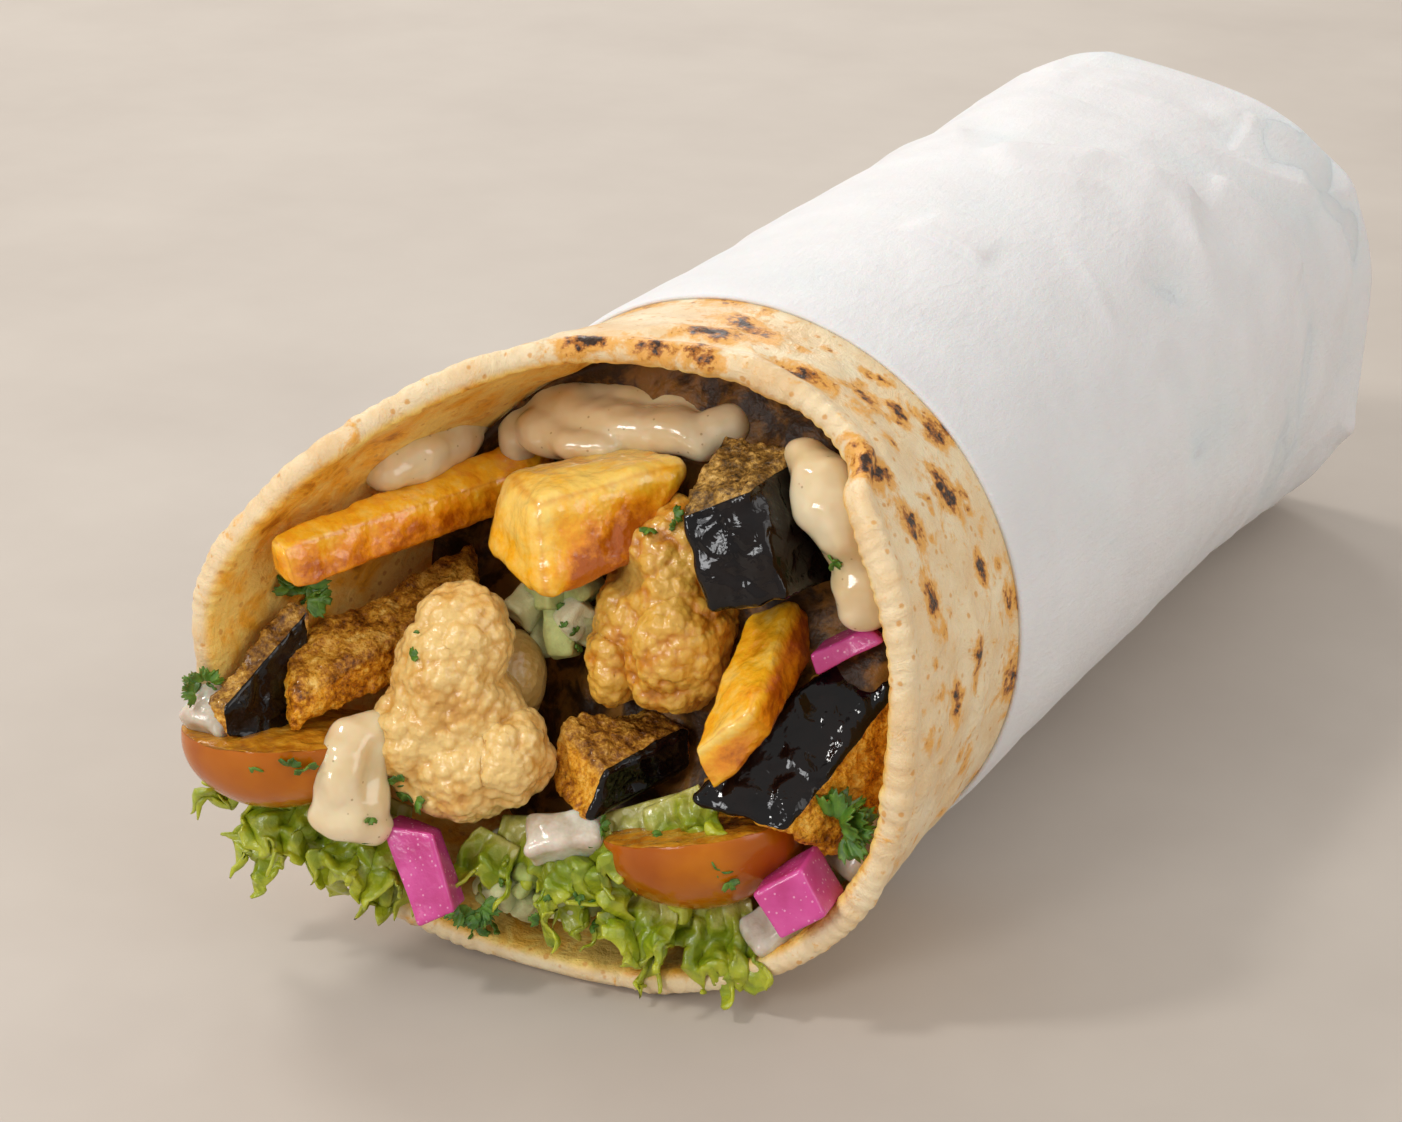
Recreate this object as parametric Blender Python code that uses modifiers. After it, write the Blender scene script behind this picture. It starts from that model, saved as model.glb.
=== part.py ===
"""A fried vegetable sandwich: a flatbread rolled round fried potato, cauliflower and aubergine,
salad, pickled turnip and tahini, lying on its side in a white paper sleeve.

The roll's axis runs along Y with its open mouth towards -Y. It lies on the floor at z = 0, and
its box's bottom centre is the origin. Sizes are written in millimetres and become metres by MM.

The pieces in the mouth are placed in the mouth's own frame: right, up, and out of the mouth.
Pieces are made from the front to the back, and each is cut back where an earlier one lies.
"""
import math
import random

import bmesh
import bpy
from mathutils import Matrix, Vector, noise
from mathutils.bvhtree import BVHTree

MM = 0.001
FULL_TURN = 2 * math.pi
MERGE_DISTANCE = 0.02 * MM

# The roll: radius and height of its axis, so that it rests on a flat spot about 12 mm wide
ROLL_RADIUS = 38.0
AXIS_HEIGHT = 37.5
SEGMENTS = 44

# Where the paper's edge is, where the bread starts to flare, and where the roll ends
PAPER_FRONT_Y = -19.0
FLARE_Y = -21.5
BOXY_FROM_Y = 60.0
BOXY_ROWS_Y = (BOXY_FROM_Y, 85.0, 108.0)
PAPER_BACK_Y = 130.0
BREAD_BACK_Y = 126.0
CORE_BACK_Y = 125.0

# The tucked far end: rings of folded paper as (share of the width, y), and their middle
TUCKED_RINGS = ((0.90, 132.6), (0.45, 133.4))
TUCKED_MIDDLE_Y = 133.0

PAPER_THICKNESS = 0.4
BREAD_THICKNESS = 3.8
GAP = 0.3
PIECE_GAP = 0.35
CORE_GAP = 0.7
BREAD_INSET = PAPER_THICKNESS + GAP
CORE_INSET = BREAD_INSET + BREAD_THICKNESS + GAP

# The far end is smaller and boxier, and its top leans down to the right of one line
END_HALF_WIDTH = 34.0
END_HALF_HEIGHT = 36.6
END_POWER = 3.2
END_LEAN = 0.0029
END_LEAN_FROM_X = -13.0

# The bread's rim at the mouth, wider than the roll and pulled out on the left
MOUTH_CENTRE_X = -3.7
MOUTH_HALF_WIDTH = 41.3
MOUTH_HALF_HEIGHT = 37.7
MOUTH_CENTRE_Z = 37.8
MOUTH_POWER = 2.4
MOUTH_SQUARE_CORNER = 0.15
MOUTH_ROUND_CORNER = 0.4
SEAM_ANGLE = math.radians(45)
SEAM_STEP = 2.6
SEAM_WIDTH = math.radians(3)
SEAM_FADE = math.radians(26)

# The mouth's frame: its centre, and the way out of it
MOUTH_AT = Vector((-4.0, -54.0, 38.0))
MOUTH_OUT = Vector((0.241, -0.9415, 0.2354)).normalized()

# How many triangles a plain piece may hold, and those that may hold more
PLAIN_TRIANGLES = 440
MOST_TRIANGLES = {"flatbread": 1800, "cauliflower_front": 640, "cauliflower_back": 600,
                  "salad_core": 1500}

roll_collection = bpy.data.collections.new("fried_vegetable_sandwich")
cutter_collection = bpy.data.collections.new("cutters")


def smooth_step(value):
    """0 below 0, 1 above 1, and a smooth climb between."""
    value = min(max(value, 0.0), 1.0)
    return value * value * (3 - 2 * value)


def mix(low, high, share):
    return low + (high - low) * share


def superellipse(angle, half_width, half_height, power):
    """A point on an oval that grows boxier with its power."""
    across, up = math.cos(angle), math.sin(angle)
    return (math.copysign(half_width * abs(across) ** (2 / power), across),
            math.copysign(half_height * abs(up) ** (2 / power), up))


def make_material(name, colour, roughness):
    material = bpy.data.materials.new(name)
    material.use_nodes = True
    shader = material.node_tree.nodes["Principled BSDF"]
    shader.inputs["Base Color"].default_value = (*colour, 1.0)
    shader.inputs["Roughness"].default_value = roughness
    shader.inputs["Metallic"].default_value = 0.0
    material.diffuse_color = (*colour, 1.0)
    return material


MATERIALS = {
    "paper": make_material("white_paper", (0.85, 0.83, 0.83), 0.75),
    "bread": make_material("flatbread", (0.80, 0.62, 0.40), 0.70),
    "salad": make_material("chopped_salad", (0.35, 0.36, 0.12), 0.45),
    "potato": make_material("fried_potato", (0.78, 0.36, 0.06), 0.35),
    "cauliflower": make_material("fried_cauliflower", (0.75, 0.45, 0.16), 0.45),
    "browned": make_material("browned_cauliflower", (0.62, 0.28, 0.06), 0.45),
    "aubergine": make_material("aubergine_skin", (0.012, 0.010, 0.014), 0.12),
    "flesh": make_material("fried_aubergine_flesh", (0.50, 0.24, 0.05), 0.35),
    "tomato": make_material("tomato", (0.62, 0.15, 0.01), 0.25),
    "lettuce": make_material("lettuce", (0.26, 0.42, 0.04), 0.40),
    "turnip": make_material("pickled_turnip", (0.55, 0.05, 0.25), 0.30),
    "onion": make_material("onion", (0.78, 0.72, 0.62), 0.30),
    "tahini": make_material("tahini", (0.72, 0.60, 0.42), 0.25),
    "parsley": make_material("parsley", (0.06, 0.17, 0.02), 0.50),
}


def new_object(name, mesh, material, collection):
    item = bpy.data.objects.new(name, mesh)
    collection.objects.link(item)
    mesh.materials.append(MATERIALS[material])
    return item


def object_from(name, shape, material):
    """An object in the sandwich's collection from a bmesh in millimetres."""
    shape.transform(Matrix.Scale(MM, 4))
    mesh = bpy.data.meshes.new(name)
    shape.to_mesh(mesh)
    shape.free()
    mesh.shade_smooth()
    return new_object(name, mesh, material, roll_collection)


def keep_largest_body(shape):
    """Delete every loose scrap but the body with the largest box."""
    unseen = set(shape.verts)
    bodies = []
    while unseen:
        body, edge_of_search = set(), [next(iter(unseen))]
        while edge_of_search:
            vertex = edge_of_search.pop()
            if vertex in body:
                continue
            body.add(vertex)
            edge_of_search.extend(edge.other_vert(vertex) for edge in vertex.link_edges)
        unseen -= body
        bodies.append(body)
    bodies.sort(key=body_size, reverse=True)
    for body in bodies[1:]:
        bmesh.ops.delete(shape, geom=list(body), context="VERTS")


def body_size(body):
    spans = [[vertex.co[axis] for vertex in body] for axis in range(3)]
    return sum(max(span) - min(span) for span in spans)


def settle(item):
    """Apply an object's modifiers, and keep one closed body of triangles."""
    bpy.context.view_layer.update()
    depsgraph = bpy.context.evaluated_depsgraph_get()
    mesh = bpy.data.meshes.new_from_object(item.evaluated_get(depsgraph))
    item.modifiers.clear()
    shape = bmesh.new()
    shape.from_mesh(mesh)
    bmesh.ops.remove_doubles(shape, verts=shape.verts, dist=MERGE_DISTANCE)
    bmesh.ops.dissolve_degenerate(shape, edges=shape.edges, dist=MERGE_DISTANCE)
    keep_largest_body(shape)
    open_edges = [edge for edge in shape.edges if edge.is_boundary]
    bmesh.ops.holes_fill(shape, edges=open_edges)
    bmesh.ops.triangulate(shape, faces=shape.faces)
    shape.to_mesh(mesh)
    shape.free()
    item.data = mesh
    return item


def limit_triangles(item, most):
    """Thin an object's mesh down to a number of triangles."""
    count = len(item.data.polygons)
    if count > most:
        thin = item.modifiers.new("thin", "DECIMATE")
        thin.ratio = most / count
        settle(item)
    return item


def place(item, at, along=(1, 0, 0), facing=(0, 0, 1)):
    """Set a piece in the mouth's frame, its X along one way and its Z facing another."""
    x_axis = Vector(along).normalized()
    z_axis = (Vector(facing) - x_axis * x_axis.dot(Vector(facing))).normalized()
    turn = Matrix((x_axis, z_axis.cross(x_axis), z_axis)).transposed()
    item.parent = mouth
    item.location = Vector(at) * MM
    item.rotation_euler = turn.to_euler()
    return item


def rim_y(angle):
    """How far the rim reaches along Y: furthest on the left, and a step where the roll laps."""
    from_seam = (angle - SEAM_ANGLE + math.pi) % FULL_TURN - math.pi
    step = SEAM_STEP * math.tanh(from_seam / SEAM_WIDTH) * math.exp(-(from_seam / SEAM_FADE) ** 2)
    return (-55.4 + 10.6 * math.cos(angle) + 6.2 * math.sin(angle) - 5.9 * math.cos(2 * angle)
            + 2.5 * math.sin(2 * angle) - 2.4 * math.sin(3 * angle) + step)


def wrap_point(angle, y, inset):
    """A point on the wrap's outside at an angle round its axis, moved inward by inset."""
    across = (ROLL_RADIUS - inset) * math.cos(angle)
    height = AXIS_HEIGHT + (ROLL_RADIUS - inset) * math.sin(angle)
    lowest = inset
    if y > BOXY_FROM_Y:
        share = smooth_step((y - BOXY_FROM_Y) / (PAPER_BACK_Y - BOXY_FROM_Y))
        end_x, end_up = superellipse(angle, END_HALF_WIDTH - inset, END_HALF_HEIGHT - inset,
                                     END_POWER)
        end_z = (END_HALF_HEIGHT + end_up) * (1 - END_LEAN * max(end_x - END_LEAN_FROM_X, 0))
        across, height = mix(across, end_x, share), mix(height, end_z, share)
    elif y < FLARE_Y:
        share = smooth_step((FLARE_Y - y) / (FLARE_Y - rim_y(angle)))
        left = max(0, -math.cos(angle))
        power = MOUTH_POWER + 2 * left * (MOUTH_SQUARE_CORNER * max(0, -math.sin(angle))
                                          - MOUTH_ROUND_CORNER * max(0, math.sin(angle)))
        inward = inset - BREAD_INSET
        mouth_x, mouth_up = superellipse(angle, MOUTH_HALF_WIDTH - inward,
                                         MOUTH_HALF_HEIGHT - inward, power)
        across = mix(across, MOUTH_CENTRE_X + mouth_x, share)
        height = mix(height, MOUTH_CENTRE_Z + mouth_up, share)
        lowest = mix(inset, inward + 0.1, share)
    return Vector((across, y, max(height, lowest)))


def ring_angles(segments):
    """Angles round the roll, with one straight down so that the flat spot is centred."""
    return [FULL_TURN * (step / segments) - math.pi / 2 for step in range(segments)]


def join_rings(shape, first, second):
    """Quads between two rings of vertices, facing out where the second lies further along Y."""
    for step in range(len(first)):
        after = (step + 1) % len(first)
        shape.faces.new((first[step], second[step], second[after], first[after]))


def ring_at(shape, y, inset, segments=SEGMENTS):
    return [shape.verts.new(wrap_point(angle, y, inset)) for angle in ring_angles(segments)]


def flare_ring(shape, share, inset, forward=0.0, segments=SEGMENTS):
    """A ring part of the way from the start of the flare to the lip, or on the lip's curve."""
    ring = []
    for angle in ring_angles(segments):
        lip_y = rim_y(angle) + BREAD_THICKNESS / 2
        ring.append(shape.verts.new(wrap_point(angle, mix(FLARE_Y, lip_y, share) - forward, inset)))
    return ring


def paper_sleeve():
    """Thin paper round the roll: a straight tube whose far end is folded in and tucked."""
    shape = bmesh.new()
    rows = [ring_at(shape, y, 0) for y in (PAPER_FRONT_Y, *BOXY_ROWS_Y, PAPER_BACK_Y)]
    crease_paper(rows)
    end_centre = Vector((0, 0, END_HALF_HEIGHT))
    for share, y in TUCKED_RINGS:
        tucked = []
        for angle in ring_angles(SEGMENTS):
            edge = wrap_point(angle, PAPER_BACK_Y, 0)
            pleat = 0.8 * math.cos(4 * angle) * (1 - share)
            spot = Vector((mix(end_centre.x, edge.x, share), y + pleat,
                           mix(end_centre.z, edge.z, share)))
            tucked.append(shape.verts.new(spot))
        rows.append(tucked)
    for first, second in zip(rows, rows[1:]):
        join_rings(shape, first, second)
    middle = shape.verts.new((end_centre.x, TUCKED_MIDDLE_Y, end_centre.z))
    last = rows[-1]
    for step in range(SEGMENTS):
        shape.faces.new((last[step], middle, last[(step + 1) % SEGMENTS]))
    sleeve = object_from("paper_sleeve", shape, "paper")
    wall = sleeve.modifiers.new("paper_thickness", "SOLIDIFY")
    wall.thickness = PAPER_THICKNESS * MM
    wall.offset = -1
    sleeve.parent = sandwich
    return settle(sleeve)


def crease_paper(rows):
    """Lift the paper off the roll in soft folds near its far end, never inward."""
    for row_number, lift in ((1, 0.25), (2, 0.9), (3, 1.2)):
        for step, vertex in enumerate(rows[row_number]):
            angle = ring_angles(SEGMENTS)[step]
            if math.sin(angle) < -0.2:
                continue
            fold = max(0.0, math.sin(5 * angle + 1.3 * row_number))
            outward = Vector((math.cos(angle), 0, math.sin(angle)))
            vertex.co += outward * lift * fold


def flatbread():
    """Thin bread with a rounded lip: one loft out to the rim and back along the inside."""
    shape = bmesh.new()
    inside = BREAD_INSET + BREAD_THICKNESS
    tube_rows = (FLARE_Y, *BOXY_ROWS_Y, BREAD_BACK_Y)
    rows = [flare_ring(shape, share, inside) for share in (1.0, 0.7, 0.35)]
    rows += [ring_at(shape, y, inside) for y in tube_rows]
    rows += [ring_at(shape, y, BREAD_INSET) for y in reversed(tube_rows)]
    rows += [flare_ring(shape, share, BREAD_INSET) for share in (0.35, 0.7, 1.0)]
    half = BREAD_THICKNESS / 2
    for lip in (45, 90, 135):
        turn = math.radians(lip)
        rows.append(flare_ring(shape, 1.0, BREAD_INSET + half * (1 - math.cos(turn)),
                               half * math.sin(turn)))
    for first, second in zip(rows, rows[1:] + rows[:1]):
        join_rings(shape, second, first)
    bread = object_from("flatbread", shape, "bread")
    bread.parent = sandwich
    return settle(bread)


def rough(shape, amount, scale, seed):
    """Push a shape's points along their normals by smooth noise."""
    shape.normal_update()
    for vertex in shape.verts:
        shift = noise.noise(vertex.co / scale + Vector((seed, seed * 0.7, -seed)))
        vertex.co += vertex.normal * shift * amount


def block(name, material, size, cuts=(2, 1, 1), taper=(1.0, 1.0), lift=0.0, bend=0.0, lean=0.0,
          bulge=0.0, uneven=0.5, edge=0.8, seed=1):
    """A cut piece: a box that may taper, bend, lean and bulge, with uneven faces and soft edges.

    Taper gives the far end's width and height as shares of the near end's, lift moves the far
    end up, bend bows the middle up, lean shears the ends and bulge rounds the +Z face.
    """
    shape = bmesh.new()
    bmesh.ops.create_cube(shape, size=1.0)
    for axis, count in enumerate(cuts):
        normal = [0, 0, 0]
        normal[axis] = 1
        for cut in range(count):
            spot = [0, 0, 0]
            spot[axis] = (cut + 1) / (count + 1) - 0.5
            everything = shape.verts[:] + shape.edges[:] + shape.faces[:]
            bmesh.ops.bisect_plane(shape, geom=everything, plane_co=spot, plane_no=normal)
    length, width, height = size
    for vertex in shape.verts:
        share = vertex.co.x + 0.5
        x, y, z = vertex.co
        round_top = bulge * (1 - 4 * y * y) * (1 - 4 * x * x) * max(z, 0) * 2
        vertex.co = Vector((x * length + lean * z * height,
                            y * width * mix(1, taper[0], share),
                            z * height * mix(1, taper[1], share) + lift * share
                            + bend * (1 - 4 * x * x) + round_top))
    rough(shape, uneven, 6.0, seed)
    piece = object_from(name, shape, material)
    soft = piece.modifiers.new("soft_edges", "BEVEL")
    soft.width = edge * MM
    soft.segments = 1 if edge < 1.2 else 2
    soft.limit_method = "ANGLE"
    soft.angle_limit = math.radians(40)
    soft.use_clamp_overlap = True
    return settle(piece)


def fused(name, material, lumps, voxel, triangles, smoothing=0):
    """Overlapping lumps grown into one body. Each lump is (place, radii)."""
    shape = bmesh.new()
    for spot, radii in lumps:
        grown = bmesh.ops.create_icosphere(shape, subdivisions=2, radius=1.0)
        for vertex in grown["verts"]:
            vertex.co = Vector((vertex.co.x * radii[0], vertex.co.y * radii[1],
                                vertex.co.z * radii[2])) + Vector(spot)
    piece = object_from(name, shape, material)
    skin = piece.modifiers.new("skin", "REMESH")
    skin.mode = "VOXEL"
    skin.voxel_size = voxel * MM
    if smoothing:
        flow = piece.modifiers.new("flow", "SMOOTH")
        flow.factor = 0.5
        flow.iterations = smoothing
    settle(piece)
    return limit_triangles(piece, triangles)


def floret(name, material, heads, bump, triangles, seed):
    """A cauliflower floret: heads on a stalk, each head covered in round buds."""
    dice = random.Random(seed)
    golden_angle = math.pi * (3 - math.sqrt(5))
    lumps = []
    for spot, radii, buds in heads:
        lumps.append((spot, radii))
        for number in range(buds):
            up = 1 - 2 * (number + 0.5) / buds
            round_way = golden_angle * number
            flat = math.sqrt(1 - up * up)
            way = Vector((flat * math.cos(round_way), up, flat * math.sin(round_way)))
            radius = bump * dice.uniform(0.75, 1.25)
            bud = Vector((way.x * radii[0], way.y * radii[1], way.z * radii[2])) * 0.94
            lumps.append((Vector(spot) + bud, (radius, radius, radius)))
    return fused(name, material, lumps, 0.7, triangles)


def tomato_slice(name, radius, squash, keep_below, keep_front, seed):
    """A cut tomato: a squashed ball, kept below one flat cut and in front of another."""
    shape = bmesh.new()
    bmesh.ops.create_uvsphere(shape, u_segments=18, v_segments=8, radius=radius)
    for vertex in shape.verts:
        vertex.co.z *= squash
    for height, normal in ((keep_below, (0, 0, 1)), (keep_front, (0, 1, 0))):
        everything = shape.verts[:] + shape.edges[:] + shape.faces[:]
        cut = bmesh.ops.bisect_plane(shape, geom=everything, plane_co=Vector(normal) * height,
                                     plane_no=normal, clear_outer=True)
        rim = [item for item in cut["geom_cut"] if isinstance(item, bmesh.types.BMEdge)]
        bmesh.ops.edgenet_fill(shape, edges=rim)
    rough(shape, 0.25, 9.0, seed)
    return settle(object_from(name, shape, "tomato"))


def leaf(name, material, size, cells, frill, waves, curl, thickness=0.7, seed=1):
    """A thin leaf whose outer edge is lobed and ruffled, and which curls along its width."""
    length, width = size
    shape = bmesh.new()
    bmesh.ops.create_grid(shape, x_segments=cells[0], y_segments=cells[1], size=0.5)
    for vertex in shape.verts:
        along, out = vertex.co.x, vertex.co.y + 0.5
        phase = FULL_TURN * waves * along + seed
        lobe = 1 + 0.10 * out * math.sin(1.7 * phase + 1.0)
        ruffle = frill * out ** 1.3 * (math.sin(phase) + 0.3 * math.sin(1.9 * phase + seed))
        bow = curl * out
        reach = width * out * lobe
        vertex.co = Vector((along * length * (0.72 + 0.28 * out),
                            reach * math.cos(bow) - ruffle * math.sin(bow) * 0.4,
                            ruffle * math.cos(bow) - reach * math.sin(bow) * 0.6))
    bmesh.ops.triangulate(shape, faces=shape.faces)
    piece = object_from(name, shape, material)
    blade = piece.modifiers.new("blade", "SOLIDIFY")
    blade.thickness = thickness * MM
    blade.offset = 0
    return settle(piece)


def sprig(name, size, lobes, tilt, stalk=0.0, thickness=0.6, seed=1):
    """A small parsley leaf: a lobed outline round its stalk, slightly cupped."""
    shape = bmesh.new()
    middle = shape.verts.new((0, 0, 0))
    steps = lobes * 4
    rim = []
    for step in range(steps):
        angle = FULL_TURN * step / steps
        lobe = 0.62 + 0.38 * math.cos(lobes * angle)
        reach = size * lobe * (1 + stalk * max(0, -math.cos(angle)) ** 8)
        height = tilt * math.sin(2 * angle + seed) * lobe
        rim.append(shape.verts.new((reach * math.cos(angle), reach * 0.8 * math.sin(angle),
                                    height)))
    for step in range(steps):
        shape.faces.new((middle, rim[step], rim[(step + 1) % steps]))
    piece = object_from(name, shape, "parsley")
    blade = piece.modifiers.new("blade", "SOLIDIFY")
    blade.thickness = thickness * MM
    blade.offset = 0
    return settle(piece)


def fries_and_wedge():
    long_fry = block("fry_long", "potato", (46, 9, 6.8), cuts=(4, 0, 0), taper=(1.0, 1.1),
                     bend=0.8, uneven=0.7, edge=1.3, seed=3)
    place(long_fry, (-20.6, 16.8, -14.2), (0.725, 0.352, -0.592), (-0.27, 0.94, 0.22))
    wedge = block("potato_wedge", "potato", (25, 13, 14.5), cuts=(3, 1, 1), taper=(0.7, 0.35),
                  lift=4.6, lean=-0.3, uneven=1.0, edge=2.8, seed=5)
    place(wedge, (1.2, 15.4, -9.0), (0.80, 0.22, -0.55), (-0.15, 0.95, 0.25))
    right_fry = block("fry_right", "potato", (30, 6.6, 6.4), cuts=(4, 0, 0), taper=(1.25, 1.3),
                      bend=0.4, lean=-1.0, uneven=0.6, edge=1.0, seed=8)
    place(right_fry, (23.2, 2.0, -4.0), (0.31, 0.80, -0.52), (-0.6, 0.25, 0.75))
    return long_fry, wedge, right_fry


def cauliflower():
    front = floret("cauliflower_front", "cauliflower",
                   [((0, 2, 0), (8.0, 10.5, 7.5), 60), ((4.5, -6.5, -0.5), (6.0, 6.0, 6.5), 34),
                    ((-4.0, -6.0, 0), (6.2, 6.2, 6.5), 34), ((3, 5, -9), (4, 5, 7), 0)],
                   1.9, 640, 11)
    place(front, (-12.2, -4.0, -1.5))
    back = floret("cauliflower_back", "browned",
                  [((1.0, -3.0, 0), (7.2, 8.0, 6.5), 44), ((-6.0, -6.5, -0.5), (3.6, 5.2, 4.5), 22),
                   ((0.5, 6.0, -3.0), (4.6, 7.0, 5.0), 26), ((4, 2, -7), (5, 6, 6), 0)],
                  1.6, 580, 12)
    place(back, (8.8, 6.8, -7.0), (0.99, 0.1, 0), (0, 0, 1))
    return front, back


def aubergine():
    golden = block("aubergine_golden", "flesh", (33, 12, 10.5), cuts=(4, 1, 1),
                   taper=(1.3, 1.0), lean=0.5, uneven=1.6, edge=1.4, seed=21)
    place(golden, (-24.0, 2.8, -7.0), (0.56, 0.58, -0.59), (-0.1, 0.75, 0.65))
    left = block("aubergine_left", "aubergine", (25, 8, 8.5), cuts=(2, 1, 1), taper=(1.1, 0.8),
                 lean=0.3, uneven=0.7, edge=0.9, seed=22)
    place(left, (-35.6, -2.0, -2.5), (0.39, 0.62, -0.68), (-0.45, 0.75, 0.45))
    cube = block("aubergine_cube", "aubergine", (16, 15, 13), cuts=(1, 1, 1),
                 taper=(1.05, 0.95), bulge=1.2, uneven=0.8, edge=1.0, seed=23)
    place(cube, (20.8, 20.8, -3.8), (0.93, 0.33, 0.18), (-0.07, -0.33, 0.94))
    middle = block("aubergine_mid", "flesh", (19, 12, 10), cuts=(2, 1, 1), taper=(0.8, 0.7),
                   uneven=1.0, edge=1.1, seed=24)
    place(middle, (4.5, -9.2, -6.5), (0.80, 0.42, -0.42), (-0.35, 0.80, 0.50))
    right = block("aubergine_right", "aubergine", (31, 16, 13), cuts=(3, 1, 1),
                  taper=(1.15, 1.0), bulge=1.5, uneven=0.9, edge=1.2, seed=25)
    place(right, (27.4, -6.0, -8.0), (0.57, 0.68, -0.46), (-0.45, 0.2, 0.85))
    back = block("aubergine_back", "aubergine", (19, 12, 7), cuts=(2, 1, 0), taper=(0.7, 0.8),
                 uneven=0.7, edge=0.9, seed=26)
    place(back, (5.0, 33.5, -20.5), (0.97, 0.02, 0.1), (0, 0.45, 0.9))
    return golden, left, cube, middle, right, back


def tomatoes():
    left = tomato_slice("tomato_left", 13.5, 0.72, 0.8, 6.0, 31)
    place(left, (-34.2, -8.8, 0.5), (0.96, -0.10, -0.25), (-0.02, 0.93, 0.36))
    middle = tomato_slice("tomato_mid", 13.0, 0.75, 1.2, 5.0, 32)
    place(middle, (16.8, -17.0, -6.0), (0.97, 0.22, 0.05), (-0.2, 0.9, 0.40))
    return left, middle


def lettuces():
    left = leaf("lettuce_left", "lettuce", (23, 12.5), (16, 4), 2.2, 2.6, -0.5, seed=2)
    place(left, (-26.8, -18.5, -7.0), (0.93, -0.33, -0.05), (-0.29, -0.73, -0.59))
    middle = leaf("lettuce_mid", "lettuce", (21, 11), (15, 4), 2.0, 2.4, -0.5, seed=4)
    place(middle, (7.5, -14.5, -3.5), (0.93, 0.36, -0.1), (0.15, -0.55, -0.80))
    bottom = leaf("lettuce_bottom", "lettuce", (18, 10.5), (13, 4), 1.6, 2.0, -0.4, seed=5)
    place(bottom, (16.5, -23.5, -8.0), (0.99, 0.0, 0), (0.0, -0.75, -0.65))
    inner = leaf("lettuce_inner", "lettuce", (12, 9), (9, 3), 1.6, 1.5, -0.4, seed=7)
    place(inner, (-5.0, -18.0, -7.0), (0.98, 0.1, 0), (0.0, -0.62, -0.78))
    return left, middle, bottom, inner


def pickles_and_onions():
    stick = block("turnip_stick", "turnip", (13.2, 6.4, 6.4), cuts=(0, 0, 0), lean=0.1,
                  uneven=0.2, edge=0.5, seed=41)
    place(stick, (-16.2, -23.4, 1.6), (0.40, -0.88, -0.05), (-0.12, 0.1, 0.98))
    cube = block("turnip_cube", "turnip", (8.8, 8.0, 7.8), cuts=(0, 0, 0), uneven=0.2, edge=0.5,
                 seed=42)
    place(cube, (29.0, -20.9, 1.0), (0.83, 0.42, -0.30), (-0.25, 0.85, 0.45))
    strip = block("turnip_slice", "turnip", (9.4, 5.5, 3.4), cuts=(1, 0, 0), bend=0.4,
                  uneven=0.2, edge=0.5, seed=43)
    place(strip, (31.4, 6.5, -6.0), (0.85, 0.50, -0.15), (-0.30, 0.80, 0.50))
    pieces = [stick, cube, strip]
    onions = (("onion_left", (7.0, 6.0, 5.0), (-41.2, -7.6, 5.0), (0.9, -0.3, 0.3)),
              ("onion_mid", (9.2, 5.6, 5.0), (0.2, -18.8, -0.6), (0.96, 0.22, -0.1)),
              ("onion_right", (8.0, 6.0, 4.5), (34.5, -17.0, -6.5), (0.5, 0.85, -0.1)),
              ("onion_bottom", (7.5, 6.0, 4.0), (25.6, -27.2, -4.0), (0.75, 0.6, -0.2)))
    for number, (name, size, at, along) in enumerate(onions):
        chunk = block(name, "onion", size, cuts=(1, 0, 0), taper=(0.7, 0.85), uneven=0.5,
                      edge=0.6, seed=50 + number)
        pieces.append(place(chunk, at, along, (-0.2, 0.6, 0.75)))
    return pieces


def tahini():
    """Four poured runs of sauce, each a chain of soft lumps in the mouth's frame."""
    runs = (
        ("tahini_left", [((-27.0, 22.0, -9), (4.4, 4.0, 3.0)), ((-22.5, 25.0, -13), (5.0, 4.6, 3.4)),
                         ((-18.4, 27.0, -17), (4.6, 5.0, 3.4)), ((-19.5, 23.0, -15), (4.4, 3.4, 3.2))],
         300),
        ("tahini_top", [((-13.0, 29.5, -22), (5.4, 5.4, 4.4)), ((-7.5, 27.0, -19), (6.0, 4.6, 4.6)),
                        ((-1.0, 27.5, -17), (6.5, 4.6, 4.6)), ((5.0, 27.6, -16), (6.5, 4.4, 4.6)),
                        ((10.5, 28.8, -16), (5.4, 4.2, 4.6)), ((15.5, 31.0, -17), (4.2, 3.4, 4.2))],
         340),
        ("tahini_right", [((26.5, 26.0, -3), (3.8, 5.0, 4.4)), ((28.5, 20.8, -2), (4.2, 5.2, 4.2)),
                          ((31.0, 14.5, -4), (3.6, 4.6, 4.0)), ((32.0, 10.5, -5), (4.2, 4.4, 4.0))],
         280),
        ("tahini_front", [((-25.4, -9.2, 2.8), (4.2, 4.4, 4.0)), ((-24.4, -13.2, 3.6), (4.0, 4.0, 3.8)),
                          ((-23.8, -17.4, 4.0), (5.4, 4.8, 4.2))],
         280),
    )
    return [place(fused(name, "tahini", lumps, 0.7, triangles, smoothing=6), (0, 0, 0))
            for name, lumps, triangles in runs]


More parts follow.
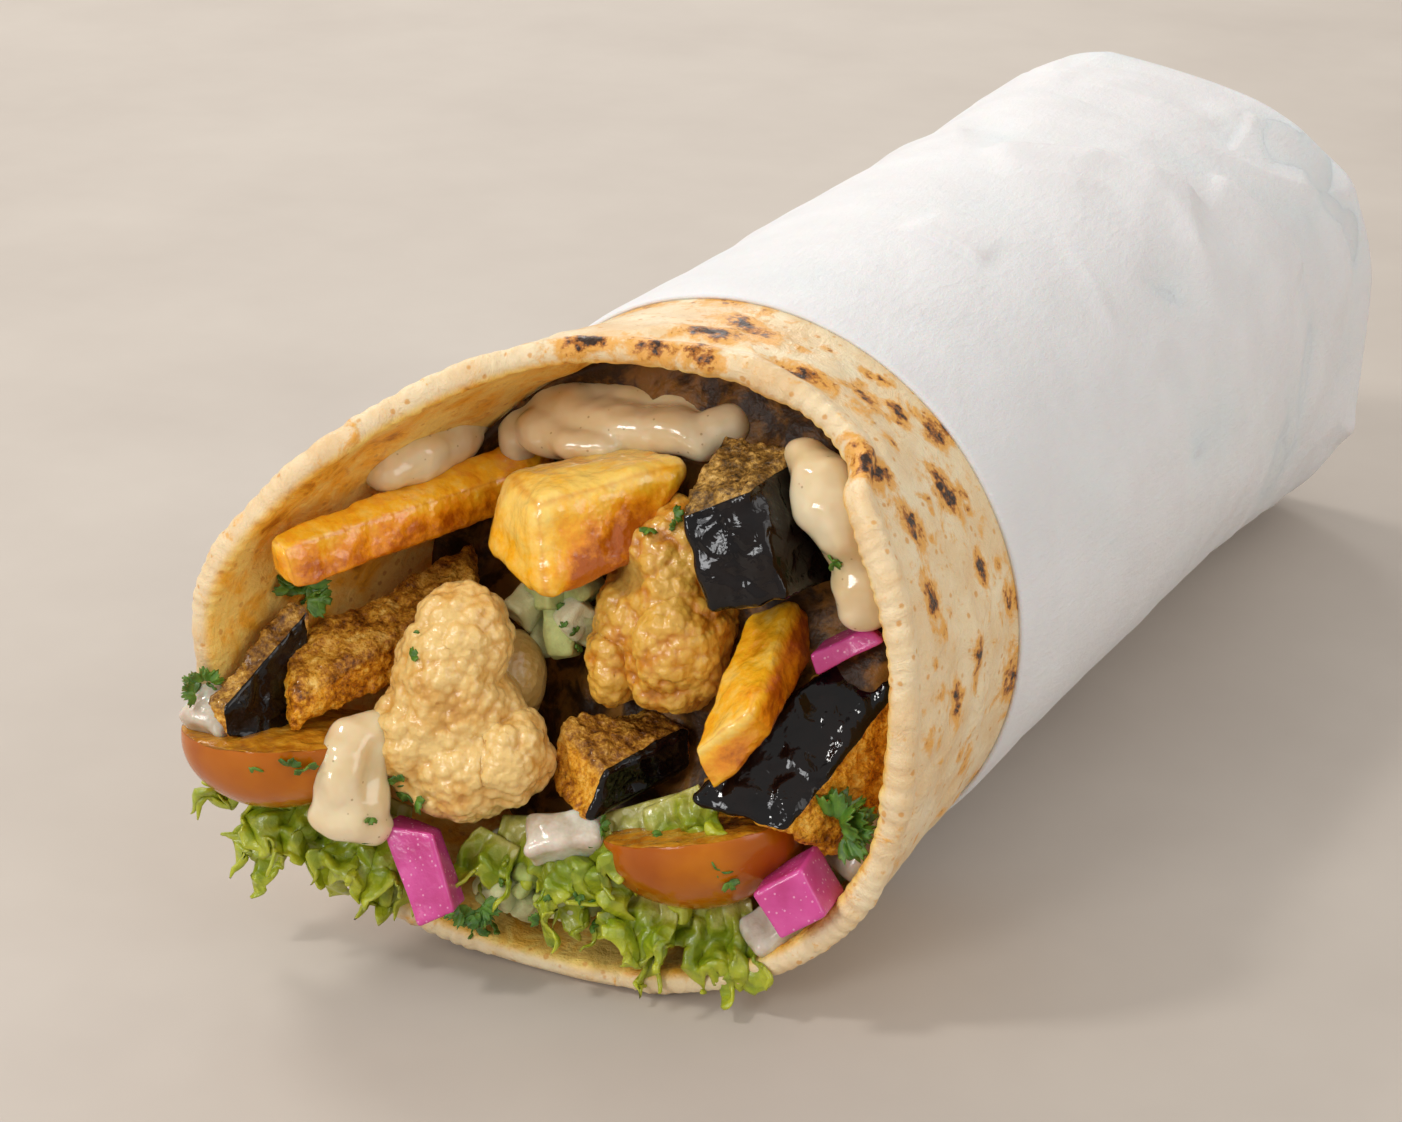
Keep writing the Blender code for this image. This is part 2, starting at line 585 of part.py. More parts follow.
def parsley():
    sprigs = (("parsley_right", 5.6, 5, (31.8, -12.6, -1.5), (0.7, 0.7, -0.1), (-0.2, 0.2, 0.95)),
              ("parsley_bottom", 3.6, 5, (-9.6, -29.6, 0.6), (0.3, -0.9, 0.2), (0.1, 0.2, 0.95)),
              ("parsley_left", 4.0, 4, (-35.0, 6.4, -4.0), (0.9, 0.2, -0.2), (0.1, 0.5, 0.85)),
              ("parsley_tip", 2.4, 3, (-44.4, -2.8, 6.0), (0.8, -0.4, 0.2), (0.1, 0.6, 0.8)))
    return [place(sprig(name, size, lobes, 0.7, stalk=0.4, seed=number), at, along, facing)
            for number, (name, size, lobes, at, along, facing) in enumerate(sprigs)]


def core_front_y(across, height):
    """How far the salad reaches along Y: furthest at the bottom, sunk at the top and left."""
    return -46.5 + 0.40 * (height - 20) + 6.0 * smooth_step((-across - 8) / 20)


def salad_core():
    """Packed filling from end to end, with the chopped salad that shows fused on its front."""
    segments = SEGMENTS // 2
    shape = bmesh.new()
    angles = ring_angles(segments)
    tube_rows = (CORE_BACK_Y, *reversed(BOXY_ROWS_Y), FLARE_Y)
    rows = [ring_at(shape, y, CORE_INSET, segments) for y in tube_rows]
    centre_x, centre_z = -2.0, 37.0
    for share in (1.0, 0.72, 0.4):
        row = []
        for angle in angles:
            edge = wrap_point(angle, mix(FLARE_Y, rim_y(angle), 0.3), CORE_INSET)
            across, height = mix(centre_x, edge.x, share), mix(centre_z, edge.z, share)
            front = core_front_y(across, height) if share < 1 else edge.y
            bump = 0.0 if share == 1 else 1.5 * noise.noise(Vector((across, 3.0, height)) / 7)
            row.append(shape.verts.new((across, front + bump, height)))
        rows.append(row)
    for first, second in zip(rows, rows[1:]):
        join_rings(shape, second, first)
    tip = shape.verts.new((centre_x, core_front_y(centre_x, centre_z), centre_z))
    back = shape.verts.new((centre_x, CORE_BACK_Y, centre_z))
    for step in range(segments):
        after = (step + 1) % segments
        shape.faces.new((rows[-1][after], tip, rows[-1][step]))
        shape.faces.new((rows[0][step], back, rows[0][after]))
    core = object_from("salad_core", shape, "salad")
    core.parent = sandwich
    settle(core)
    fuse_dice(core)
    return core


def fuse_dice(core):
    """Fuse cubes of cucumber and onion, on two mounds, to the front of the core."""
    dice = random.Random(7)
    heap = bpy.data.collections.new("dice")
    bpy.context.scene.collection.children.link(heap)
    mounds = (((-5.0, 5.5, -16.0), (9.0, 6.0, 7.0), 9), ((-5.0, -26.0, -12.0), (10.0, 5.0, 7.5), 9),
              ((33.0, -16.0, -13.0), (5.0, 7.0, 6.0), 3))
    for number, (middle, spread, count) in enumerate(mounds):
        shape = bmesh.new()
        bmesh.ops.create_icosphere(shape, subdivisions=1, radius=1.0)
        for vertex in shape.verts:
            vertex.co = Vector([vertex.co[axis] * spread[axis] for axis in range(3)])
        mound = place(object_from(f"mound_{number}", shape, "salad"), middle)
        roll_collection.objects.unlink(mound)
        heap.objects.link(mound)
        for piece in range(count):
            side = dice.uniform(3.0, 4.4)
            angle = FULL_TURN * (piece * 0.382)
            reach = math.sqrt((piece + 0.5) / count) * 0.8
            spot = (middle[0] + spread[0] * reach * math.cos(angle),
                    middle[1] + spread[1] * reach * math.sin(angle),
                    middle[2] + spread[2] * math.sqrt(1 - reach * reach) - side * 0.15)
            shape = bmesh.new()
            bmesh.ops.create_cube(shape, size=side)
            cube = object_from(f"dice_{number}_{piece}", shape, "salad")
            place(cube, spot, [dice.uniform(-1, 1) for _ in range(3)],
                  [dice.uniform(-1, 1) for _ in range(3)])
            roll_collection.objects.unlink(cube)
            heap.objects.link(cube)
    union = core.modifiers.new("dice", "BOOLEAN")
    union.operation = "UNION"
    union.operand_type = "COLLECTION"
    union.collection = heap
    union.solver = "EXACT"
    settle(core)
    for item in list(heap.objects):
        bpy.data.objects.remove(item)
    bpy.data.collections.remove(heap)


def swollen_copy(item, gap, hull):
    """A cutter: an object's mesh, or the hull round it, moved out by a gap along its normals."""
    shape = bmesh.new()
    shape.from_mesh(item.data)
    shape.transform(item.matrix_world)
    if hull:
        wrap = bmesh.ops.convex_hull(shape, input=shape.verts)
        inner = [part for part in wrap["geom_interior"] + wrap["geom_unused"]
                 if isinstance(part, bmesh.types.BMVert)]
        bmesh.ops.delete(shape, geom=inner, context="VERTS")
        held = set(wrap["geom"])
        loose = [face for face in shape.faces if face not in held]
        bmesh.ops.delete(shape, geom=loose, context="FACES_KEEP_BOUNDARY")
        bmesh.ops.recalc_face_normals(shape, faces=shape.faces)
    shape.normal_update()
    moves = [(vertex, vertex.normal * gap * MM * min(vertex.calc_shell_factor(), 2.0))
             for vertex in shape.verts]
    for vertex, move in moves:
        vertex.co += move
    tree = BVHTree.FromBMesh(shape)
    mesh = bpy.data.meshes.new("cutter")
    shape.to_mesh(mesh)
    shape.free()
    cutter = new_object("cutter_" + item.name, mesh, "salad", cutter_collection)
    cutter.hide_render = True
    cutter.display_type = "WIRE"
    return cutter, tree


def world_tree(item):
    shape = bmesh.new()
    shape.from_mesh(item.data)
    shape.transform(item.matrix_world)
    tree = BVHTree.FromBMesh(shape)
    shape.free()
    return tree


def cut_back(pieces):
    """Cut each piece clear of every piece before it in the list."""
    bpy.context.view_layer.update()
    cutters = []
    for piece in pieces:
        for cutter, tree in cutters:
            cut_clear(piece, cutter, tree)
        limit_triangles(piece, MOST_TRIANGLES.get(piece.name, PLAIN_TRIANGLES))
        cutters.append(swollen_copy(piece, PIECE_GAP, hull=piece.name != "flatbread"))
    for cutter, _ in cutters:
        bpy.data.objects.remove(cutter)


def cut_core(core, pieces):
    """Cut the salad core clear of every piece by a wider gap."""
    for piece in pieces:
        cutter, tree = swollen_copy(piece, CORE_GAP, hull=piece.name != "flatbread")
        cut_clear(core, cutter, tree)
        bpy.data.objects.remove(cutter)
    limit_triangles(core, MOST_TRIANGLES["salad_core"])


def cut_clear(piece, cutter, tree):
    if tree.overlap(world_tree(piece)):
        cut = piece.modifiers.new("clear", "BOOLEAN")
        cut.operation = "DIFFERENCE"
        cut.solver = "MANIFOLD"
        cut.object = cutter
        settle(piece)


def centre_on_floor(pieces):
    """Move the whole so that its box's bottom centre is the origin."""
    bpy.context.view_layer.update()
    corners = [piece.matrix_world @ vertex.co for piece in pieces for vertex in piece.data.vertices]
    middle = [(min(corner[axis] for corner in corners) + max(corner[axis] for corner in corners)) / 2
              for axis in range(2)]
    lowest = min(corner.z for corner in corners)
    sandwich.location = (-middle[0], -middle[1], -lowest)


for leftover in list(bpy.data.objects):
    bpy.data.objects.remove(leftover)
bpy.context.scene.collection.children.link(roll_collection)
bpy.context.scene.collection.children.link(cutter_collection)

sandwich = bpy.data.objects.new("sandwich", None)
mouth = bpy.data.objects.new("mouth", None)
for empty in (sandwich, mouth):
    roll_collection.objects.link(empty)
mouth.parent = sandwich
mouth_right = Vector((-MOUTH_OUT.y, MOUTH_OUT.x, 0)).normalized()
mouth.location = MOUTH_AT * MM
mouth.rotation_euler = Matrix((mouth_right, MOUTH_OUT.cross(mouth_right),
                               MOUTH_OUT)).transposed().to_euler()

sleeve = paper_sleeve()
bread = flatbread()
long_fry, wedge, right_fry = fries_and_wedge()
front_floret, back_floret = cauliflower()
golden, skin_left, skin_cube, flesh_mid, skin_right, skin_back = aubergine()
tomato_left, tomato_mid = tomatoes()
lettuce_left, lettuce_mid, lettuce_bottom, lettuce_inner = lettuces()
turnip_stick, turnip_cube, turnip_strip, *onions = pickles_and_onions()
sauce_left, sauce_top, sauce_right, sauce_front = tahini()
sprigs = parsley()
core = salad_core()

front_to_back = [bread, turnip_stick, turnip_cube, turnip_strip, front_floret, right_fry, wedge,
                 long_fry, skin_left, golden, sauce_right, skin_cube, back_floret, sauce_front,
                 tomato_left, skin_right, flesh_mid, tomato_mid, *onions, *sprigs, lettuce_left,
                 lettuce_mid, lettuce_bottom, lettuce_inner, skin_back, sauce_left, sauce_top]
cut_back(front_to_back)
cut_core(core, front_to_back)
centre_on_floor([sleeve, *front_to_back, core])
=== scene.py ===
"""The looks of a fried vegetable sandwich: flatbread round fried potato, cauliflower, aubergine,
tomato, lettuce, pickled turnip, onion and tahini, in a white paper sleeve.

Shapes are worked out in millimetres, in two frames. The roll's frame has its axis along Y, its
open mouth towards -Y and the floor at z = 0. The mouth's frame has the mouth's centre as its
origin and counts right, up and out of the mouth. Both become metres when a mesh is made.
"""
import itertools
import math
import random

import bmesh
import bpy
import numpy as np
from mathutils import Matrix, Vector
from mathutils.bvhtree import BVHTree


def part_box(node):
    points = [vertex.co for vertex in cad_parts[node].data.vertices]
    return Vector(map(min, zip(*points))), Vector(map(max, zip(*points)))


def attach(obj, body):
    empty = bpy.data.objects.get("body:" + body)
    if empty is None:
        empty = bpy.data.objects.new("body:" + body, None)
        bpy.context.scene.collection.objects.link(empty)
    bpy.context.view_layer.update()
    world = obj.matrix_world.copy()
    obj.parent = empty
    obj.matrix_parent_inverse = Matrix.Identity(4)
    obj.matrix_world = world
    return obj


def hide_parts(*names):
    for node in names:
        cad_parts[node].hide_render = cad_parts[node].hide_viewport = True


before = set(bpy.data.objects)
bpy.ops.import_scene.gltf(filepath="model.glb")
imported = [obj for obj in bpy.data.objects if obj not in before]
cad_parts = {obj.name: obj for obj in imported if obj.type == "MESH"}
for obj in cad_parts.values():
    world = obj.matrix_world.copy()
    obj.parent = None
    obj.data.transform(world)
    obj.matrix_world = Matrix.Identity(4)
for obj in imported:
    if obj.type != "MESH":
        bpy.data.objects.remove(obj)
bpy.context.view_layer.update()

MM = 0.001
FULL_TURN = 2 * math.pi
DETAIL = 1.0

# The roll
ROLL_RADIUS = 38.0
AXIS_HEIGHT = 37.5
PAPER_FRONT_Y = -19.0
FLARE_Y = -21.5
BOXY_FROM_Y = 60.0
PAPER_BACK_Y = 130.0
BREAD_BACK_Y = 126.0
CORE_BACK_Y = 125.0
PAPER_THICKNESS = 0.4
BREAD_THICKNESS = 3.8
LIP_THICKNESS = 2.7
BREAD_INSET = 0.7
CORE_INSET = 4.8
# Where the plain rings under the paper lie
HIDDEN_Y = (108.0, 85.0, BOXY_FROM_Y, 20.0)

# The folded far end
END_HALF_WIDTH = 34.0
END_HALF_HEIGHT = 36.6
END_POWER = 3.2
END_LEAN = 0.0029
END_LEAN_FROM_X = -13.0

# The bread's rim
MOUTH_CENTRE_X = -3.7
MOUTH_HALF_WIDTH = 41.3
MOUTH_HALF_HEIGHT = 37.7
MOUTH_CENTRE_Z = 37.8
MOUTH_POWER = 2.4
MOUTH_SQUARE_CORNER = 0.15
MOUTH_ROUND_CORNER = 0.4
SEAM_ANGLE = math.radians(45)
SEAM_STEP = 2.6
SEAM_WIDTH = math.radians(3)
SEAM_FADE = math.radians(26)
RIM_RADIUS = 40.0
# The middle of what the mouth holds
ROLL_MIDDLE_X = -2.0

# The mouth's frame
MOUTH_AT = np.array([-4.0, -54.0, 38.0])
MOUTH_OUT = np.array([0.241, -0.9415, 0.2354])
MOUTH_OUT = MOUTH_OUT / np.linalg.norm(MOUTH_OUT)
MOUTH_RIGHT = np.array([-MOUTH_OUT[1], MOUTH_OUT[0], 0.0])
MOUTH_RIGHT = MOUTH_RIGHT / np.linalg.norm(MOUTH_RIGHT)
MOUTH_UP = np.cross(MOUTH_OUT, MOUTH_RIGHT)
MOUTH_TURN = np.column_stack((MOUTH_RIGHT, MOUTH_UP, MOUTH_OUT))

# The camera: its place in the roll's frame, its heading and its lens
CAMERA_AT = np.array([154.92, -305.88, 184.77])
CAMERA_AZIMUTH = 29.33
CAMERA_ELEVATION = 23.82
CAMERA_LENS = 73.18
CAMERA_SENSOR = 36.0
PHOTO_WIDTH, PHOTO_HEIGHT = 1402, 1122

paper_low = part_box("paper_sleeve")[0]
ROLL_SHIFT = np.array([paper_low.x / MM + ROLL_RADIUS, paper_low.y / MM - PAPER_FRONT_Y, 0.0])


# Places and noise

def from_mouth(points):
    """Points of the mouth's frame in the roll's frame."""
    return np.asarray(points) @ MOUTH_TURN.T + MOUTH_AT


def turn_of(along, facing):
    """A turn whose X runs along one way and whose Z faces another."""
    x_axis = np.array(along, float)
    x_axis /= np.linalg.norm(x_axis)
    z_axis = np.array(facing, float)
    z_axis -= x_axis * (z_axis @ x_axis)
    z_axis /= np.linalg.norm(z_axis)
    return np.column_stack((x_axis, np.cross(z_axis, x_axis), z_axis))


def placed(points, at, along=(1, 0, 0), facing=(0, 0, 1)):
    """A piece's own points set in the mouth's frame, then in the roll's."""
    return from_mouth(points @ turn_of(along, facing).T + np.array(at))


def camera_ray(across, down):
    """The way from the camera through a pixel of the picture, in the roll's frame."""
    azimuth, elevation = math.radians(CAMERA_AZIMUTH), math.radians(CAMERA_ELEVATION)
    right = np.array([math.cos(azimuth), math.sin(azimuth), 0.0])
    forward = np.array([-math.sin(azimuth) * math.cos(elevation),
                        math.cos(azimuth) * math.cos(elevation), -math.sin(elevation)])
    up = np.cross(right, forward)
    focal = CAMERA_LENS / CAMERA_SENSOR * PHOTO_WIDTH
    way = forward * focal + right * (across - PHOTO_WIDTH / 2) - up * (down - PHOTO_HEIGHT / 2)
    return way / np.linalg.norm(way)


def shown_at(across, down, depth):
    """The point that shows at a pixel and lies at a depth of the mouth's frame."""
    way = camera_ray(across, down)
    reach = (depth - (CAMERA_AT - MOUTH_AT) @ MOUTH_OUT) / (way @ MOUTH_OUT)
    return CAMERA_AT + way * reach


def spot_on(tree, pixel):
    """The first point of a surface that shows at a pixel, and the surface's normal there."""
    hit, normal = tree.ray_cast(Vector(CAMERA_AT), Vector(camera_ray(*pixel)))[:2]
    return (None, None) if hit is None else (np.array(hit), np.array(normal))


def smooth_step(value):
    value = np.clip(value, 0.0, 1.0)
    return value * value * (3 - 2 * value)


def mix(low, high, share):
    return low + (high - low) * share


def lattice_ways(cell, seed):
    """Three numbers from -1 to 1 for each lattice cell."""
    mixed = cell[:, 0] * 73856093 ^ cell[:, 1] * 19349663 ^ cell[:, 2] * 83492791
    mixed = (mixed ^ seed * 2654435761 ^ (mixed >> 13)) * 1274126177
    mixed = (mixed ^ (mixed >> 16)) & 0x3FFFFFFF
    return np.stack([(mixed >> shift & 1023) / 511.5 - 1 for shift in (0, 10, 20)], axis=1)


def soft_noise(points, size, seed):
    """Smooth noise of about -1 to 1, whose bumps are about size mm apart."""
    spots = points / size
    cell = np.floor(spots).astype(np.int64)
    part = spots - cell
    ease = part ** 3 * (part * (part * 6 - 15) + 10)
    total = np.zeros(len(points))
    for corner in itertools.product((0, 1), repeat=3):
        corner = np.array(corner)
        weight = np.prod(np.where(corner, ease, 1 - ease), axis=1)
        total += weight * np.einsum("ij,ij->i", lattice_ways(cell + corner, seed), part - corner)
    return total * 1.6


def rough_noise(points, size, seed, octaves, gain):
    """Noise with finer noise on top of it."""
    total = np.zeros(len(points))
    for octave in range(octaves):
        total += gain ** octave * soft_noise(points, size / 2 ** octave, seed + octave)
    return total


def bud_distance(points, size, seed):
    """How far each point is from the nearest of a scatter of spots, as a share of their spacing."""
    spots = points / size
    cell = np.floor(spots).astype(np.int64)
    nearest = np.full(len(points), 9.0)
    for step in itertools.product((-1, 0, 1), repeat=3):
        near = cell + np.array(step)
        centre = near + 0.5 + 0.42 * lattice_ways(near, seed)
        nearest = np.minimum(nearest, np.sum((spots - centre) ** 2, axis=1))
    return np.sqrt(nearest)


# Meshes

def normals_of(points, faces):
    """Unit normals at the points of a mesh of quads."""
    corners = points[faces]
    across = np.cross(corners[:, 2] - corners[:, 0], corners[:, 3] - corners[:, 1])
    normals = np.stack([sum(np.bincount(faces[:, corner], across[:, axis], len(points))
                            for corner in range(4)) for axis in range(3)], axis=1)
    return normals / np.maximum(np.linalg.norm(normals, axis=1, keepdims=True), 1e-12)


def pushed(points, faces, amount):
    """Points moved out along their normals by an amount each."""
    return points + normals_of(points, faces) * np.reshape(amount, (-1, 1))


made_surfaces = []


def make_piece(name, points, faces, finish, replaces=(), layers=None):
    """A smooth mesh object from points in the roll's frame, riding on the sandwich."""
    made_surfaces.append((points, faces, {}))
    mesh = bpy.data.meshes.new(name)
    mesh.from_pydata(((points + ROLL_SHIFT) * MM).tolist(), [], np.asarray(faces).tolist())
    for layer, values in (layers or {}).items():
        mesh.attributes.new(layer, "FLOAT", "POINT").data.foreach_set("value", values)
    mesh.shade_smooth()
    mesh.materials.append(finish)
    mesh.update()
    item = bpy.data.objects.new(name, mesh)
    bpy.context.scene.collection.objects.link(item)
    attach(item, "root")
    if replaces:
        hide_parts(*replaces)
    return item


def joined(parts):
    """Several (points, faces, layers) as one."""
    points, faces, layers, count = [], [], {}, 0
    for part_points, part_faces, part_layers in parts:
        points.append(part_points)
        faces.append(part_faces + count)
        for layer, values in part_layers.items():
            layers.setdefault(layer, []).append(values)
        count += len(part_points)
    return (np.concatenate(points), np.concatenate(faces),
            {layer: np.concatenate(values) for layer, values in layers.items()})


def ring_faces(rows, columns, closed_rows=False):
    """Quads between rings of points, each ring closed round its columns."""
    row = np.arange(rows if closed_rows else rows - 1)[:, None]
    column = np.arange(columns)[None, :]
    after_row, after_column = (row + 1) % rows, (column + 1) % columns
    return np.stack([row * columns + column, row * columns + after_column,
                     after_row * columns + after_column, after_row * columns + column],
                    axis=-1).reshape(-1, 4)


def ring_cap(start, count):
    """Quads that close a ring of an even count of points, facing as its own turn does."""
    first = np.arange(count // 2 - 1)
    return start + np.stack([first, first + 1, count - 2 - first, count - 1 - first], axis=1)


def box_lattice(counts):
    """A box's surface as shares from 0 to 1 along its axes, with its quads facing out."""
    quads = []
    for axis in range(3):
        first, second = (axis + 1) % 3, (axis + 2) % 3
        across, up = np.meshgrid(np.arange(counts[first]), np.arange(counts[second]), indexing="ij")
        for side in (0, counts[axis]):
            corners = []
            for step_across, step_up in ((0, 0), (1, 0), (1, 1), (0, 1)):
                corner = np.empty(across.shape + (3,), int)
                corner[..., axis] = side
                corner[..., first] = across + step_across
                corner[..., second] = up + step_up
                corners.append(corner.reshape(-1, 3))
            if side == 0:
                corners.reverse()
            quads.append(np.stack(corners, axis=1))
    quads = np.concatenate(quads)
    lattice, index = np.unique(quads.reshape(-1, 3), axis=0, return_inverse=True)
    return lattice / np.array(counts), index.reshape(-1, 4)


def block(size, edge, cell, taper=(1.0, 1.0), bend=0.0):
    """A cut piece with soft edges: its points, its quads and how near an edge each point is."""
    size = np.array(size, float)
    shares, faces = box_lattice([max(4, int(round(side / (cell * DETAIL)))) for side in size])
    half = size / 2
    points = (shares - 0.5) * size
    inner = np.clip(points, edge - half, half - edge)
    away = points - inner
    nearness = np.sort(np.abs(away), axis=1)[:, 1] / edge
    points = inner + away / np.linalg.norm(away, axis=1, keepdims=True) * edge
    x, y, z = points.T
    share = x / size[0] + 0.5
    height = z * mix(1, taper[1], share) + bend * (1 - (x / half[0]) ** 2)
    return np.stack([x, y * mix(1, taper[0], share), height], axis=1), faces, nearness


def ball(radii, cells):
    """An even ball of quads."""
    shares, faces = box_lattice((cells, cells, cells))
    ways = np.tan((shares * 2 - 1) * math.pi / 4)
    return ways / np.linalg.norm(ways, axis=1, keepdims=True) * np.array(radii), faces


def cornered(corners, edge, cell, bulge=0.0):
    """A cut piece from eight corners, each (pixel across, pixel down, depth).

    They are the near end's front top, front bottom, back top and back bottom, then the far end's.
    Returns points, quads, how near an edge each point is, and each point's shares along the
    piece, up it and towards its front.
    """
    places = np.array([shown_at(*corner) for corner in corners]).reshape(2, 2, 2, 3)
    size = np.array([np.linalg.norm(places[1] - places[0], axis=-1).mean(),
                     np.linalg.norm(places[:, :, 0] - places[:, :, 1], axis=-1).mean(),
                     np.linalg.norm(places[:, 0] - places[:, 1], axis=-1).mean()])
    points, faces, nearness = block(size, edge, cell)
    along, up, front = (points / size + 0.5).T[:, :, None]
    top, bottom = [mix(mix(places[0, 1, end], places[0, 0, end], front),
                       mix(places[1, 1, end], places[1, 0, end], front), along) for end in (0, 1)]
    shaped = mix(bottom, top, up)
    if np.linalg.det(np.stack([places[1, 0, 0] - places[0, 0, 0],
                               places[0, 0, 0] - places[0, 0, 1],
                               places[0, 0, 0] - places[0, 1, 0]])) < 0:
        faces = faces[:, ::-1]
    swell = bulge * (16 * (along * (1 - along) * up * (1 - up) + along * (1 - along) * front
                           * (1 - front) + up * (1 - up) * front * (1 - front))) / 2
    shaped = pushed(shaped, faces, swell)
    return shaped, faces, nearness, np.concatenate([along, up, front], axis=1)


def melted(lumps, voxel, smoothing):
    """Overlapping lumps grown into one skin of quads. Each lump is (place, radii)."""
    shape = bmesh.new()
    for spot, radii in lumps:
        grown = bmesh.ops.create_icosphere(shape, subdivisions=3, radius=1.0)
        for vertex in grown["verts"]:
            vertex.co = Vector([vertex.co[axis] * radii[axis] + spot[axis] for axis in range(3)])
    mesh = bpy.data.meshes.new("lumps")
    shape.to_mesh(mesh)
    shape.free()
    item = bpy.data.objects.new("lumps", mesh)
    bpy.context.scene.collection.objects.link(item)
    skin = item.modifiers.new("skin", "REMESH")
    skin.mode = "VOXEL"
    skin.voxel_size = voxel * DETAIL
    flow = item.modifiers.new("flow", "SMOOTH")
    flow.factor = 0.5
    flow.iterations = smoothing
    bpy.context.view_layer.update()
    grown = item.evaluated_get(bpy.context.evaluated_depsgraph_get()).to_mesh()
    points = np.empty(len(grown.vertices) * 3)
    grown.vertices.foreach_get("co", points)
    faces = np.empty(len(grown.loops), int)
    grown.loops.foreach_get("vertex_index", faces)
    bpy.data.objects.remove(item)
    return points.reshape(-1, 3), faces.reshape(-1, 4)


def thick_sheet(points, rows, columns, thickness):
    """A grid of points as a thin closed leaf: both faces and the edge between them."""
    index = np.arange(rows * columns).reshape(rows, columns)
    top = np.stack([index[:-1, :-1], index[:-1, 1:], index[1:, 1:], index[1:, :-1]],
                   axis=-1).reshape(-1, 4)
    half = np.full((rows, columns), thickness / 4)
    half[1:-1, 1:-1] = thickness / 2
    lift = normals_of(points, top) * half.reshape(-1, 1)
    border = np.concatenate([index[0, :-1], index[:-1, -1], index[-1, :0:-1], index[:0:-1, 0]])
    after = np.roll(border, -1)
    count = rows * columns
    edge = np.stack([after, border, border + count, after + count], axis=1)
    return (np.concatenate([points + lift, points - lift]),
            np.concatenate([top, top[:, ::-1] + count, edge]))


# Finishes

class Value:
    """What a node gives. Numbers can be added to it, taken from it and multiplied."""

    def __init__(self, finish, socket):
        self.finish = finish
        self.socket = socket

    def __add__(self, other):
        return self.finish.sum("ADD", self, other)

    def __sub__(self, other):
        return self.finish.sum("SUBTRACT", self, other)

    def __mul__(self, other):
        return self.finish.sum("MULTIPLY", self, other)


class Finish:
    """A material in the making: a shader, and short ways to add nodes that feed it."""

    def __init__(self, name, **values):
        self.material = bpy.data.materials.new(name)
        self.material.use_nodes = True
        self.tree = self.material.node_tree
        self.shader = self.tree.nodes["Principled BSDF"]
        self.place = Value(self, self.tree.nodes.new("ShaderNodeTexCoord").outputs["Object"])
        for socket, value in values.items():
            self.feed(self.shader.inputs[socket.replace("_", " ")], value)

    def feed(self, socket, value):
        if isinstance(value, Value):
            self.tree.links.new(value.socket, socket)
        elif socket.type == "RGBA":
            socket.default_value = (*value, 1.0)
        else:
            socket.default_value = value

    def node(self, kind, inputs, output=0, **settings):
        made = self.tree.nodes.new(kind)
        for setting, value in settings.items():
            setattr(made, setting, value)
        for socket, value in inputs.items():
            self.feed(made.inputs[socket], value)
        return Value(self, made.outputs[output])

    def layer(self, name):
        return self.node("ShaderNodeAttribute", {}, "Fac", attribute_name=name)

    def stretched(self, size, offset, stretch=(1, 1, 1)):
        scale = [1 / (size * MM * share) for share in stretch]
        return self.node("ShaderNodeMapping", {"Vector": self.place, "Scale": scale,
                                               "Location": (offset, offset, offset)})

    def noise(self, size, detail, roughness, offset=0.0, stretch=(1, 1, 1), warp=0.0):
        """Noise from 0 to 1 with blotches about size mm apart."""
        inputs = {"Vector": self.stretched(size, offset, stretch), "Scale": 1.0, "Detail": detail,
                  "Roughness": roughness, "Distortion": warp}
        return self.node("ShaderNodeTexNoise", inputs, "Fac")

    def cells(self, size, offset):
        """Distance to the nearest of a scatter of spots about size mm apart."""
        inputs = {"Vector": self.stretched(size, offset), "Scale": 1.0}
        return self.node("ShaderNodeTexVoronoi", inputs, "Distance")

    def span(self, value, low, high, to_low=0.0, to_high=1.0):
        """A value stretched so that low to high becomes another span, smoothly."""
        inputs = {"Value": value, "From Min": low, "From Max": high, "To Min": to_low,
                  "To Max": to_high}
        return self.node("ShaderNodeMapRange", inputs, "Result", interpolation_type="SMOOTHSTEP")

    def sum(self, operation, first, second):
        return self.node("ShaderNodeMath", {0: first, 1: second}, operation=operation)

    def blend(self, share, first, second):
        """One colour over another by a share."""
        return self.node("ShaderNodeMix", {0: share, 6: first, 7: second}, 2, data_type="RGBA")

    def ramp(self, value, *stops):
        """A value turned into colours at stops of (place, colour)."""
        made = self.node("ShaderNodeValToRGB", {"Fac": value}, "Color")
        elements = made.socket.node.color_ramp.elements
        while len(elements) < len(stops):
            elements.new(0.5)
        for element, (spot, colour) in zip(elements, stops):
            element.position = spot
            element.color = (*colour, 1.0)
        return made

    def colour(self, value):
        self.feed(self.shader.inputs["Base Color"], value)

    def bump(self, height, depth):
        """Relief of a depth in millimetres, over any relief added before."""
        inputs = {"Height": height, "Distance": depth * MM}
        before = self.shader.inputs["Normal"].links
        if before:
            inputs["Normal"] = Value(self, before[0].from_socket)
        self.feed(self.shader.inputs["Normal"], self.node("ShaderNodeBump", inputs))


